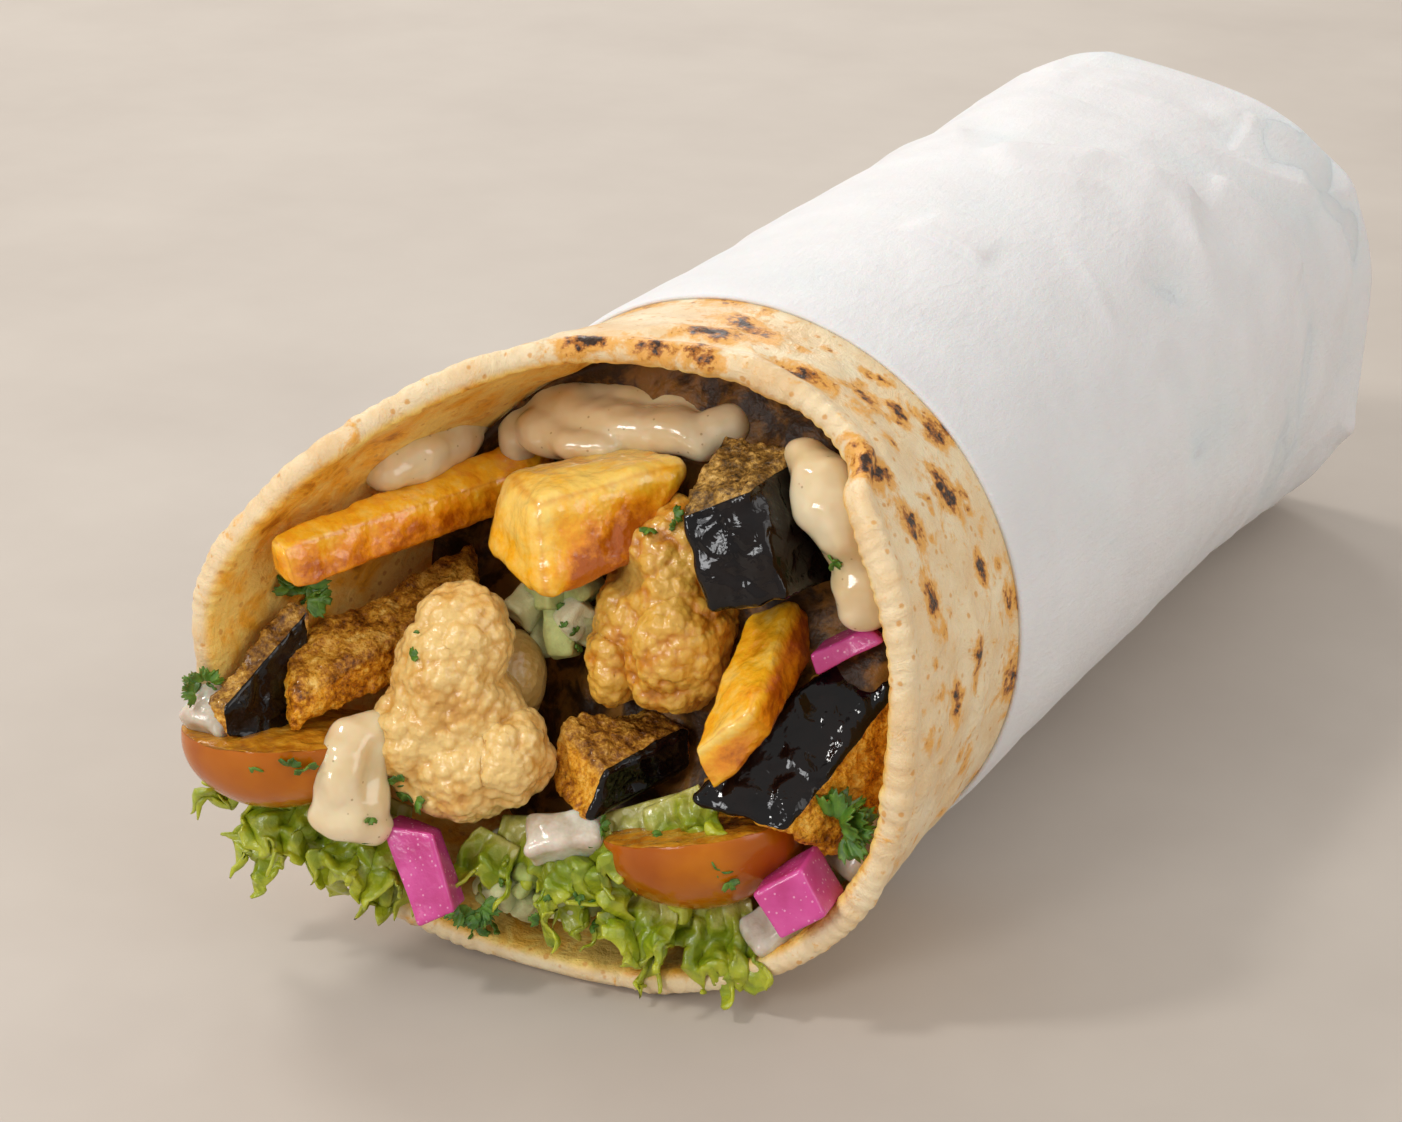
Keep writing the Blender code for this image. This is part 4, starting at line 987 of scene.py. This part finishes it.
TURNIP = {
    "turnip_stick": (
        (380, 825, 4.5), (432, 834, 5), (399, 813, -1), (441, 828, -1),
        (417, 928, 6), (454, 913, 6), (436, 916, 0), (467, 900, 0)),
    "turnip_cube": (
        (751, 895, 5), (780, 941, 5), (768, 871, -2), (797, 915, -2),
        (801, 869, 5), (825, 917, 5), (818, 842, -2), (845, 891, -2)),
    "turnip_slice": (
        (809, 655, -3), (816, 677, -3), (824, 640, -8), (830, 660, -8),
        (868, 628, -5), (884, 642, -4), (868, 618, -10), (888, 632, -10)),
}


def ridged(points, size, seed):
    """Noise folded into sharp crests, from 0 to 1."""
    return 1 - np.abs(soft_noise(points, size, seed)) * 1.6


# Painted light on a long fry: paler up its top face and at its near end
def pale_ends(along, up, front):
    return mix(0.10, 0.55, up ** 2) + 0.3 * smooth_step((0.06 - along) / 0.06)


# Painted light on the wedge: pale on its top and near end, deeper amber as painted shade on its
# lower faces further along
def pale_wedge(along, up, front):
    return 0.95 - 0.95 * smooth_step(along / 0.4) * (1 - up ** 2) - 0.3 * (1 - up)


# Painted light on the right fry: paler on its lit front face and at its near end
def pale_front(along, up, front):
    return (mix(0.05, 0.62, smooth_step((front - 0.6) / 0.3))
            + 0.25 * smooth_step((0.06 - along) / 0.06))


# The painted light and shade each fried potato gets
PALE = {"fry_long": pale_ends, "potato_wedge": pale_wedge, "fry_right": pale_front}


def fries(finish):
    for seed, (name, (edge, corners)) in enumerate(POTATO.items()):
        points, faces, nearness, shares = cornered(corners, edge, 0.36, 0.5)
        points = pushed(points, faces, 0.40 * soft_noise(points, 6, seed + 10))
        points = pushed(points, faces, 0.22 * soft_noise(points, 2.8, seed + 20)
                        + 0.12 * soft_noise(points, 1.2, seed + 24))
        make_piece(name + "_fried", points, faces, finish, (name,),
                   {"edge": nearness, "pale": PALE[name](*shares.T)})


def floret(name, finish, heads, stalk, at, lobe, depth, seed):
    """A cauliflower floret: heads melted into one, with lobes, buds and beads but for its stalk.

    Heads are (place, radii) and the stalk is (place, radius). Lobe is the lobes' size, and depth
    is the relief of lobes, buds and beads.
    """
    points, faces = melted(heads, 0.25, 6)
    stalk_at, stalk_size = stalk
    from_stalk = np.linalg.norm(points - np.array(stalk_at), axis=1) / stalk_size
    curd = mix(0.12, 1.0, smooth_step((from_stalk - 0.7) / 0.4))
    points = points + 0.5 * np.stack([soft_noise(points, 5, seed + axis) for axis in range(3)],
                                     axis=1)
    coarse = bud_distance(points, lobe, seed)
    middling = bud_distance(points, lobe * 0.45, seed + 1)
    relief = depth[0] * (0.5 - coarse ** 2) + depth[1] * (0.5 - middling ** 2)
    points = pushed(points, faces, curd * relief)
    beads = bud_distance(points, 1.15, seed + 2)
    points = pushed(points, faces, curd * depth[2] * (0.5 - beads ** 2))
    # How far each point stands out on its lobes, buds and beads; the finish paints light on the
    # tips and shade in the clefts with it
    tip = np.clip(1.30 - 0.35 * coarse - 0.35 * middling - 0.60 * beads, 0, 1)
    make_piece(name + "_fried", placed(points, at), faces, finish, (name,),
               {"tip": tip, "stalk": 1 - curd})


def cauliflower():
    front = cauliflower_finish("fried_cauliflower", (0.493, 0.194, 0.022), (0.704, 0.387, 0.088),
                               (0.81, 0.546, 0.194))
    back = cauliflower_finish("browned_cauliflower", (0.272, 0.068, 0.004), (0.592, 0.224, 0.0136),
                              (0.72, 0.4, 0.056))
    floret("cauliflower_front", front,
           [((-1.9, 6.4, -0.5), (5.6, 6.8, 5.6)), ((-3.0, 1.6, 0), (6.6, 10.0, 6.4)),
            ((-4.4, -4.2, 0), (7.0, 8.8, 6.5)), ((-0.8, -7.6, 0), (6.8, 6.6, 6.2)),
            ((4.9, -6.2, 0.3), (4.5, 5.4, 5.2)), ((1.0, -0.8, -0.9), (4.6, 5.4, 5.2)),
            ((2.0, 1.2, -7.0), (4.4, 6.0, 4.4))],
           ((5.0, 2.6, -6.0), 6.0), (-12.2, -4.0, -1.5), 4.8, (1.5, 0.80, 0.45), 11)
    floret("cauliflower_back", back,
           [((2.0, -2.4, 0), (6.0, 7.8, 6.5)), ((-5.6, -5.4, -0.8), (3.2, 5.2, 4.2)),
            ((0.2, 6.0, -2.2), (6.2, 8.0, 5.6)), ((4, 2, -7), (5, 6, 6)),
            ((-2.4, -1.0, -3.6), (4.6, 5.0, 4.4)), ((0.4, 2.6, -1.0), (6.2, 5.6, 5.4)),
            ((-3.4, 0.4, -1.2), (4.6, 5.4, 4.8))],
           ((-3.6, 5.4, 0.5), 3.4), (8.8, 6.8, -7.0), 4.4, (1.4, 0.75, 0.45), 12)


def skin_on(kind, up, front):
    """Where a piece has skin: on its front, on all but its top, all round or nowhere."""
    if kind == "front":
        return smooth_step((front - 0.90) / 0.08)
    if kind == "but_top":
        return 1 - smooth_step((up - 0.90) / 0.08)
    return np.full(len(up), float(kind == "all"))


def aubergines(finish):
    for seed, (name, (edge, dark, kind, corners)) in enumerate(AUBERGINE.items()):
        points, faces, _, shares = cornered(corners, edge, 0.38)
        up, front = shares.T[1:]
        skin = skin_on(kind, up, front)
        wave = 0.8 * soft_noise(points, 7.5, seed + 30) + 0.35 * soft_noise(points, 3.6, seed + 35)
        points = pushed(points, faces, wave * mix(0.8, 1.0, skin))
        ragged = rough_noise(points, 2.2, seed + 40, 4, 0.65)
        folds = 0.30 * ridged(points, 3.4, seed + 45) * skin
        points = pushed(points, faces, ragged * mix(0.50, 0.03, skin) + folds)
        slot = "aubergine_skin" if skin.mean() > 0.5 else "aubergine_flesh"
        # Painted shade on the flesh: the piece's own amount, and more towards its top
        dark = np.clip(0.45 * smooth_step((up - 0.75) / 0.2) + dark, 0, 1)
        make_piece(name + "_fried", points, faces, finish, (name,),
                   {"skin": skin, "dark": dark})


# Fresh pieces

# How much of the ball past a cut goes: a little stays, so that the cut face keeps its area
CUT_SHARE = 0.94


def tomato(name, finish, radius, squash, keep_below, keep_front, at, along, facing, seed):
    """A cut tomato: a squashed ball with one flat cut above and one behind."""
    points, faces = ball((radius, radius, radius * squash), int(44 / DETAIL))
    cut_top = np.maximum(points[:, 2] - keep_below, 0)
    cut_side = np.maximum(points[:, 1] - keep_front, 0)
    cut = smooth_step(np.maximum(cut_top, cut_side) / 0.5)
    points[:, 2] -= CUT_SHARE * cut_top
    points[:, 1] -= CUT_SHARE * cut_side
    uneven = 0.25 * soft_noise(points, 7, seed) + 0.25 * cut * soft_noise(points, 1.8, seed + 1)
    points = pushed(points, faces, uneven)
    make_piece(name + "_cut", placed(points, at, along, facing), faces, finish, (name,),
               {"cut": cut})


def tomatoes(finish):
    tomato("tomato_left", finish, 12.0, 0.76, 0.8, 6.0, (-35.3, -9.8, 0.5), (0.97, 0.04, -0.10),
           (-0.06, 0.985, 0.06), 31)
    tomato("tomato_mid", finish, 12.6, 0.72, 1.2, 5.0, (15.6, -17.0, -6.0), (0.97, 0.20, 0.05),
           (-0.19, 0.98, 0.02), 32)


def wandering(along, size, seed):
    """Smooth noise along a line."""
    flat = along.reshape(-1)
    spots = np.stack([flat, np.full_like(flat, seed * 3.7), np.full_like(flat, 0.5)], axis=1)
    return soft_noise(spots, size, seed).reshape(along.shape)


def leaf(size, frill, curl, thickness, seed):
    """A curly leaf: crumpled all over, more so towards its lobed and toothed outer edge."""
    length, width = size
    columns, rows = int(length * 7.8 / DETAIL), int(width * 3.9 / DETAIL)
    along, out = np.meshgrid(np.linspace(-0.5, 0.5, columns), np.linspace(0, 1, rows))
    spread = along * length
    wander = wandering(spread, 6.0, seed)
    fold = FULL_TURN * spread / 7.0 + 5.0 * wander
    teeth = np.abs((spread * 0.50 + 0.8 * wander) % 1.0 - 0.5) * 2
    lobe = 1 + out ** 2 * (0.55 * wandering(spread, 3.6, seed + 100) + 0.14 * teeth
                           + 0.20 * wandering(spread, 1.0, seed + 120))
    bow = curl * out
    reach = width * out * lobe
    ruffle = frill * out * np.sin(fold)
    points = np.stack([spread * (0.62 + 0.38 * out) + 0.4 * frill * out ** 2 * np.cos(2 * fold),
                       reach * np.cos(bow) - ruffle * np.sin(bow) * 0.4,
                       ruffle * np.cos(bow) - reach * np.sin(bow) * 0.6], axis=-1).reshape(-1, 3)
    spots = np.stack([spread, reach, 0 * reach], axis=-1).reshape(-1, 3)
    share = out.reshape(-1)
    for axis, amount in enumerate((1.5, 1.3, 2.6)):
        coarse = soft_noise(spots, 3.4, seed + 60 + axis)
        fine = soft_noise(spots, 1.5, seed + 70 + axis)
        points[:, axis] += frill * amount * (0.75 * share ** 0.7 * coarse + 0.30 * share * fine)
    both, faces = thick_sheet(points, rows, columns, thickness)
    return both, faces, np.tile(share, 2)


# Each curly leaf's parts: size, frill, curl, place, way along and way faced in the mouth's frame
LETTUCE = {
    "lettuce_left": (
        ((24, 12.5), 1.5, -0.5, (-27.5, -16.5, -4.5), (0.93, -0.33, -0.10), (-0.20, -0.45, -0.87)),
        ((17, 10.0), 1.6, -0.3, (-34.5, -14.5, -3.5), (0.80, -0.55, 0.10), (-0.30, -0.60, -0.74)),
        ((14, 9.5), 1.5, -0.4, (-22.0, -19.5, -2.5), (0.95, -0.25, 0.10), (-0.10, -0.65, -0.75))),
    "lettuce_mid": (
        ((22, 11.5), 1.5, -0.5, (6.5, -15.0, -3.0), (0.93, 0.36, -0.10), (0.15, -0.40, -0.90)),
        ((14, 9.0), 1.5, -0.4, (1.0, -18.0, -2.0), (0.90, 0.40, 0.15), (0.20, -0.60, -0.78)),
        ((12, 8.0), 1.4, -0.4, (12.5, -12.5, -1.5), (0.85, 0.50, 0.0), (0.30, -0.45, -0.84))),
    "lettuce_bottom": (
        ((18, 9.5), 1.4, -0.4, (16.5, -24.5, -5.0), (0.99, 0.0, 0.0), (0.0, -0.55, -0.83)),
        ((11, 7.5), 1.4, -0.3, (10.5, -25.0, -3.0), (0.95, -0.2, 0.1), (-0.1, -0.7, -0.7))),
    "lettuce_inner": (
        ((13, 9.0), 1.4, -0.4, (-5.0, -18.0, -5.0), (0.98, 0.1, 0.0), (0.0, -0.50, -0.86)),
        ((9, 7.0), 1.3, -0.3, (-8.5, -20.5, -3.0), (0.9, -0.3, 0.1), (-0.1, -0.6, -0.79))),
}


def lettuces(finish):
    for seed, (name, leaves) in enumerate(LETTUCE.items()):
        parts = []
        for number, (size, frill, curl, at, along, facing) in enumerate(leaves):
            points, faces, out = leaf(size, frill, curl, 0.45, 3 + 5 * seed + number)
            parts.append((placed(points, at, along, facing), faces, {"out": out}))
        points, faces, layers = joined(parts)
        make_piece(name + "_curly", points, faces, finish, (name,), layers)


def turnips(finish):
    for seed, (name, corners) in enumerate(TURNIP.items()):
        points, faces, _, _ = cornered(corners, 0.45, 0.26)
        points = pushed(points, faces, 0.16 * soft_noise(points, 5, seed + 70))
        make_piece(name + "_pickled", points, faces, finish, (name,))


def onions(finish):
    shapes = (("onion_left", (6.4, 6.0, 5.4), (-41.6, -7.8, 5.6), (0.9, -0.3, 0.3)),
              ("onion_mid", (9.2, 5.6, 5.0), (0.2, -18.8, -0.6), (0.96, 0.22, -0.1)),
              ("onion_right", (8.0, 6.0, 4.5), (34.5, -17.0, -6.5), (0.5, 0.85, -0.1)),
              ("onion_bottom", (7.5, 6.0, 4.0), (25.6, -27.2, -4.0), (0.75, 0.6, -0.2)))
    for seed, (name, size, at, along) in enumerate(shapes):
        points, faces, _ = block(size, 1.1, 0.28, taper=(0.8, 0.85), bend=0.5)
        points = pushed(points, faces, 0.6 * soft_noise(points, 3.5, seed + 80))
        make_piece(name + "_chopped", placed(points, at, along, (-0.2, 0.6, 0.75)), faces, finish,
                   (name,))


# Each sauce's runs: stops of (pixel across, pixel down, depth) with the run's radii there
TAHINI = {
    "tahini_left": (
        ((386, 476, -6.5, (2.8, 2.0, 2.0)), (412, 458, -9.5, (3.4, 3.0, 2.4)),
         (440, 440, -14.5, (3.6, 3.8, 2.6)), (466, 428, -20, (2.8, 3.6, 2.6))),
        ((400, 444, -10.5, (2.6, 2.6, 2.2)), (448, 418, -18.5, (3.0, 3.0, 2.4)))),
    "tahini_top": (
        ((520, 440, -21, (2.4, 3.4, 3.0)), (530, 408, -24, (3.6, 4.2, 3.4)),
         (560, 404, -22, (4.0, 4.2, 4.0)), (590, 424, -19, (4.2, 3.6, 4.0)),
         (630, 428, -17.5, (4.4, 3.2, 4.0)), (668, 430, -16.5, (4.2, 3.0, 4.0)),
         (704, 438, -15.5, (3.4, 2.6, 3.4)), (730, 424, -16.5, (2.8, 2.6, 3.0))),
        ((545, 430, -19, (3.4, 2.8, 3.4)), (575, 444, -15.5, (3.0, 1.8, 3.0)),
         (604, 446, -14.5, (2.4, 1.4, 2.6))),
        ((600, 404, -22, (4.0, 3.4, 3.6)), (690, 412, -20, (4.0, 3.2, 3.6)))),
    "tahini_right": (
        ((808, 456, -6.5, (2.6, 2.2, 2.8)), (822, 480, -4, (3.6, 3.2, 3.4)),
         (834, 508, -2.8, (4.4, 3.8, 3.6)), (846, 534, -2.8, (3.8, 3.2, 3.4)),
         (858, 558, -4, (2.6, 2.6, 3.0)), (862, 584, -4, (3.6, 3.4, 3.2)),
         (866, 606, -4.5, (3.2, 2.8, 3.0))),),
    "tahini_front": (
        ((374, 726, 2.4, (2.2, 2.0, 2.4)), (352, 735, 4.8, (3.2, 2.2, 2.4)),
         (345, 757, 6.4, (2.9, 2.8, 2.4)), (341, 790, 6.8, (3.2, 3.4, 2.8)),
         (343, 814, 6.4, (4.0, 3.0, 2.8)), (366, 826, 4.6, (3.0, 2.2, 2.6))),
        ((372, 745, 3.0, (2.4, 2.8, 2.4)), (364, 775, 4.4, (2.8, 3.4, 2.6)),
         (364, 804, 5.0, (2.8, 3.0, 2.6)))),
}


def poured(stops):
    """Lumps set close along a run of sauce, in the mouth's frame."""
    lumps = []
    for first, second in zip(stops, stops[1:]):
        start, end = [(shown_at(*stop[:3]) - MOUTH_AT) @ MOUTH_TURN for stop in (first, second)]
        steps = max(2, int(np.linalg.norm(end - start) / 1.1))
        for share in np.arange(steps + 1) / steps:
            lumps.append((mix(start, end, share),
                          mix(np.array(first[3]), np.array(second[3]), share)))
    return lumps


def sauces(finish):
    for seed, (name, runs) in enumerate(TAHINI.items()):
        lumps = [lump for stops in runs for lump in poured(stops)]
        points, faces = melted(lumps, 0.36, 16)
        points = pushed(points, faces, 0.2 + 0.55 * soft_noise(points, 5, seed + 90)
                        + 0.22 * soft_noise(points, 2.4, seed + 95))
        points = from_mouth(points)
        if name != "tahini_front":
            points = kept_inside(points, BREAD_INSET + 1.2)
        make_piece(name + "_poured", points, faces, finish, (name,))


# Each sprig of parsley: its leaf size, its leaves, where it starts and which way it fans and faces
PARSLEY = {
    "parsley_right": (3.6, 8, (31.8, -13.6, -1.0), (0.75, 0.65, 0.1), (-0.1, 0.2, 0.97)),
    "parsley_bottom": (2.6, 6, (-9.8, -27.6, 1.2), (0.25, -0.95, 0.1), (0.1, 0.25, 0.96)),
    "parsley_left": (2.8, 5, (-34.6, 5.6, -1.5), (0.3, 0.9, -0.3), (0.2, 0.35, 0.90)),
    "parsley_tip": (1.9, 4, (-42.4, -4.0, 7.5), (-0.6, 0.75, 0.3), (0.1, 0.4, 0.9)),
}


def leaflet(size, seed, columns=30, rows=12):
    """A small parsley leaf: a fan of three toothed lobes on a narrow foot."""
    columns, rows = int(columns / DETAIL), int(rows / DETAIL)
    across, out = np.meshgrid(np.linspace(-1, 1, columns), np.linspace(0.2, 1, rows))
    angle = across * mix(0.25, 1.15, smooth_step(out * 2))
    lobe = 0.62 + 0.38 * np.abs(np.cos(1.5 * math.pi * across)) ** 0.7
    teeth = 1 + 0.12 * np.cos(11 * math.pi * across) * out
    reach = size * out * mix(1, lobe * teeth, smooth_step(out * 1.3))
    height = size * (0.16 * np.sin(5 * angle + seed) + 0.20 * math.sin(seed * 2.3)) * out ** 1.6
    points = np.stack([reach * np.cos(angle), reach * np.sin(angle), height], axis=-1)
    return thick_sheet(points.reshape(-1, 3), rows, columns, 0.28)


def sprig(size, count, at, along, facing, seed):
    """Leaves fanned from one foot, each turned and lifted its own way."""
    dice = random.Random(seed)
    heading, up = turn_of(along, facing)[:, 0], turn_of(along, facing)[:, 2]
    side = np.cross(up, heading)
    parts = []
    for number in range(count):
        turn = mix(-1.15, 1.15, number / max(1, count - 1)) + dice.uniform(-0.2, 0.2)
        way = heading * math.cos(turn) + side * math.sin(turn) + up * dice.uniform(-0.25, 0.35)
        foot = np.array(at) + way * size * dice.uniform(0.1, 0.75) + up * dice.uniform(0, 0.9)
        points, faces = leaflet(size * dice.uniform(0.7, 1.15), seed + number)
        parts.append((placed(points, foot, way, up + side * dice.uniform(-0.6, 0.6)), faces, {}))
    return parts


def sprigs(finish):
    for seed, (name, (size, count, at, along, facing)) in enumerate(PARSLEY.items()):
        points, faces, _ = joined(sprig(size, count, at, along, facing, seed))
        make_piece(name + "_leaf", points, faces, finish, (name,))


# Where chopped herbs lie: left, top, right and bottom in the picture, and how many
HERB_PATCHES = ((405, 632, 437, 670, 3), (395, 780, 422, 812, 4), (440, 908, 482, 940, 5),
                (648, 515, 682, 552, 3), (553, 608, 590, 648, 4), (276, 582, 335, 612, 4),
                (192, 676, 218, 692, 2), (250, 760, 330, 775, 3),
                (560, 820, 700, 850, 4), (480, 880, 600, 940, 9), (700, 850, 730, 880, 3),
                (330, 790, 380, 860, 3), (820, 560, 850, 600, 2))


def flecks(finish):
    """Chopped herbs scattered on what shows in their patches of the picture."""
    points, faces, _ = joined(made_surfaces)
    tree = BVHTree.FromPolygons(points.tolist(), faces.tolist())
    dice = random.Random(21)
    parts = []
    for left, top, right, bottom, count in HERB_PATCHES:
        for number in range(count):
            pixel = (dice.uniform(left, right), dice.uniform(top, bottom))
            hit, normal = spot_on(tree, pixel)
            if hit is None:
                continue
            spot = (hit - MOUTH_AT) @ MOUTH_TURN
            facing = normal @ MOUTH_TURN + [dice.uniform(-0.4, 0.4) for _ in range(3)]
            along = [dice.uniform(-1, 1) for _ in range(3)]
            points, faces = leaflet(dice.uniform(0.9, 1.9), number, 20, 7)
            parts.append((placed(points, spot + facing * 0.15, along, facing), faces, {}))
    points, faces, _ = joined(parts)
    make_piece("herbs_chopped", points, faces, finish)


# The chopped salad behind and between the pieces

# Mounds of salad cubes: middle and spread in the mouth's frame, how many, and their usual side
SALAD_MOUNDS = (((-4.6, 6.5, -11.5), (5.5, 4.5, 3.0), 8, 6.4),
                ((-5.0, -26.0, -12.0), (10.0, 5.0, 7.5), 22, 4.2),
                ((33.0, -16.0, -13.0), (5.0, 7.0, 6.0), 8, 4.2),
                ((-3.0, -26.5, -5.0), (8.0, 2.0, 3.5), 14, 4.2))
# The core's near-black brown: partly the sauce-soaked filling, partly painted shade in the gaps
# between the pieces
CORE_TONE = (0.040, 0.017, 0.005)


def core_front_y(across, height):
    return -46.5 + 0.40 * (height - 20) + 6.0 * smooth_step((-across - 8) / 20)


def salad(finish):
    """A packed core whose front is covered in chopped cucumber and onion."""
    columns = int(120 / DETAIL)
    angle = ring_angles(columns)
    rings = [wrap_points(angle, y, CORE_INSET) for y in (CORE_BACK_Y, *HIDDEN_Y, FLARE_Y)]
    centre = np.array([ROLL_MIDDLE_X, 0.0, 37.0])
    rim = wrap_points(angle, mix(FLARE_Y, rim_y(angle), 0.3), CORE_INSET)
    for share in np.linspace(1, 0.03, int(34 / DETAIL)):
        across = mix(centre[0], rim[:, 0], share)
        height = mix(centre[2], rim[:, 2], share)
        front = mix(core_front_y(across, height), rim[:, 1], smooth_step((share - 0.86) / 0.14))
        rings.append(np.stack([across, front, height], axis=1))
    points = np.concatenate(rings)
    lumpy = np.where(points[:, 1] < FLARE_Y, 1.0, 0.0)
    points[:, 1] += lumpy * (1.2 * soft_noise(points, 6, 51) + 0.4 * soft_noise(points, 2, 52))
    faces = np.concatenate([ring_faces(len(rings), columns), ring_cap(0, columns)[:, ::-1],
                            ring_cap((len(rings) - 1) * columns, columns)])
    parts = [(points, faces, {"tone": np.zeros(len(points))})]
    dice = random.Random(7)
    for middle, spread, count, widest in SALAD_MOUNDS:
        for number in range(count):
            side = widest * dice.uniform(0.75, 1.2)
            turn = FULL_TURN * number * 0.382
            reach = math.sqrt((number + 0.5) / count)
            at = (middle[0] + spread[0] * reach * math.cos(turn),
                  middle[1] + spread[1] * reach * math.sin(turn),
                  middle[2] + spread[2] * math.sqrt(max(0, 1 - reach * reach)) - side * 0.15)
            shape, quads, _ = block((side, side * 0.8, side * 0.6), 0.7, 0.4, (0.8, 0.9))
            shape = pushed(shape, quads, 0.45 * soft_noise(shape + number, 3.0, 53))
            along = [dice.uniform(-1, 1) for _ in range(3)]
            facing = [dice.uniform(-1, 1) for _ in range(3)]
            tone = dice.choice((0.45, 0.55, 0.65, 0.7, 0.75))
            parts.append((placed(shape, at, along, facing), quads,
                          {"tone": np.full(len(shape), tone)}))
    points, faces, layers = joined(parts)
    make_piece("salad_chopped", points, faces, finish, ("salad_core",), layers)


# The stage

# The soft light all round: its strength at the horizon and overhead
WORLD_LOW = 0.47
WORLD_HIGH = 0.64

# The soft lights: name, place, size, power and colour
LIGHTS = (("key", (-1.05, 0.45, 1.00), 0.40, 5.8, (1.0, 0.97, 0.93)),
          ("window", (-0.25, -1.25, 0.55), 0.36, 5.0, (0.98, 0.99, 1.0)),
          ("fill", (1.35, -0.10, 0.85), 0.90, 5.4, (1.0, 0.99, 0.98)),
          ("spark", (-0.45, -0.50, 0.85), 0.12, 2.6, (1.0, 0.98, 0.95)),
          ("glint", (-0.60, 1.05, 0.60), 0.30, 2.2, (1.0, 0.98, 0.95)))


def stage():
    mesh = bpy.data.meshes.new("floor")
    mesh.from_pydata([(-3, -3, 0), (3, -3, 0), (3, 3, 0), (-3, 3, 0)], [], [(0, 1, 2, 3)])
    mesh.materials.append(floor_finish())
    floor = bpy.data.objects.new("floor", mesh)
    bpy.context.scene.collection.objects.link(floor)

    world = bpy.data.worlds.new("studio")
    world.use_nodes = True
    tree = world.node_tree
    background = tree.nodes["Background"]
    background.inputs["Color"].default_value = (1.0, 0.98, 0.95, 1.0)
    way = tree.nodes.new("ShaderNodeTexCoord")
    parts = tree.nodes.new("ShaderNodeSeparateXYZ")
    tree.links.new(way.outputs["Generated"], parts.inputs[0])
    height = tree.nodes.new("ShaderNodeMapRange")
    for socket, value in (("From Min", 0.0), ("From Max", 0.65), ("To Min", WORLD_LOW),
                          ("To Max", WORLD_HIGH)):
        height.inputs[socket].default_value = value
    tree.links.new(parts.outputs["Z"], height.inputs["Value"])
    tree.links.new(height.outputs["Result"], background.inputs["Strength"])
    bpy.context.scene.world = world
    bpy.context.scene.view_settings.view_transform = "Standard"
    for light in LIGHTS:
        area_light(*light)


def area_light(name, place, size, power, colour):
    """A square soft light that looks at the sandwich."""
    light = bpy.data.lights.new(name, "AREA")
    light.size = size
    light.energy = power
    light.color = colour
    item = bpy.data.objects.new(name, light)
    item.location = place
    item.rotation_euler = (Vector((0, 0, 0.03)) - Vector(place)).to_track_quat("-Z", "Y").to_euler()
    bpy.context.scene.collection.objects.link(item)


def camera():
    lens = bpy.data.cameras.new("camera")
    lens.lens = CAMERA_LENS
    lens.sensor_width = CAMERA_SENSOR
    lens.clip_start = 0.01
    lens.clip_end = 20
    item = bpy.data.objects.new("camera", lens)
    item.location = (CAMERA_AT + ROLL_SHIFT) * MM
    item.rotation_euler = (math.radians(90 - CAMERA_ELEVATION), 0, math.radians(CAMERA_AZIMUTH))
    bpy.context.scene.collection.objects.link(item)
    bpy.context.scene.camera = item


camera()
stage()
flatbread(bread_finish())
paper(paper_finish())
fries(potato_finish())
cauliflower()
aubergines(aubergine_finish())
tomatoes(tomato_finish())
lettuces(lettuce_finish())
turnips(turnip_finish())
onions(onion_finish())
sauces(tahini_finish())
salad(salad_finish())
herbs = parsley_finish()
sprigs(herbs)
flecks(herbs)
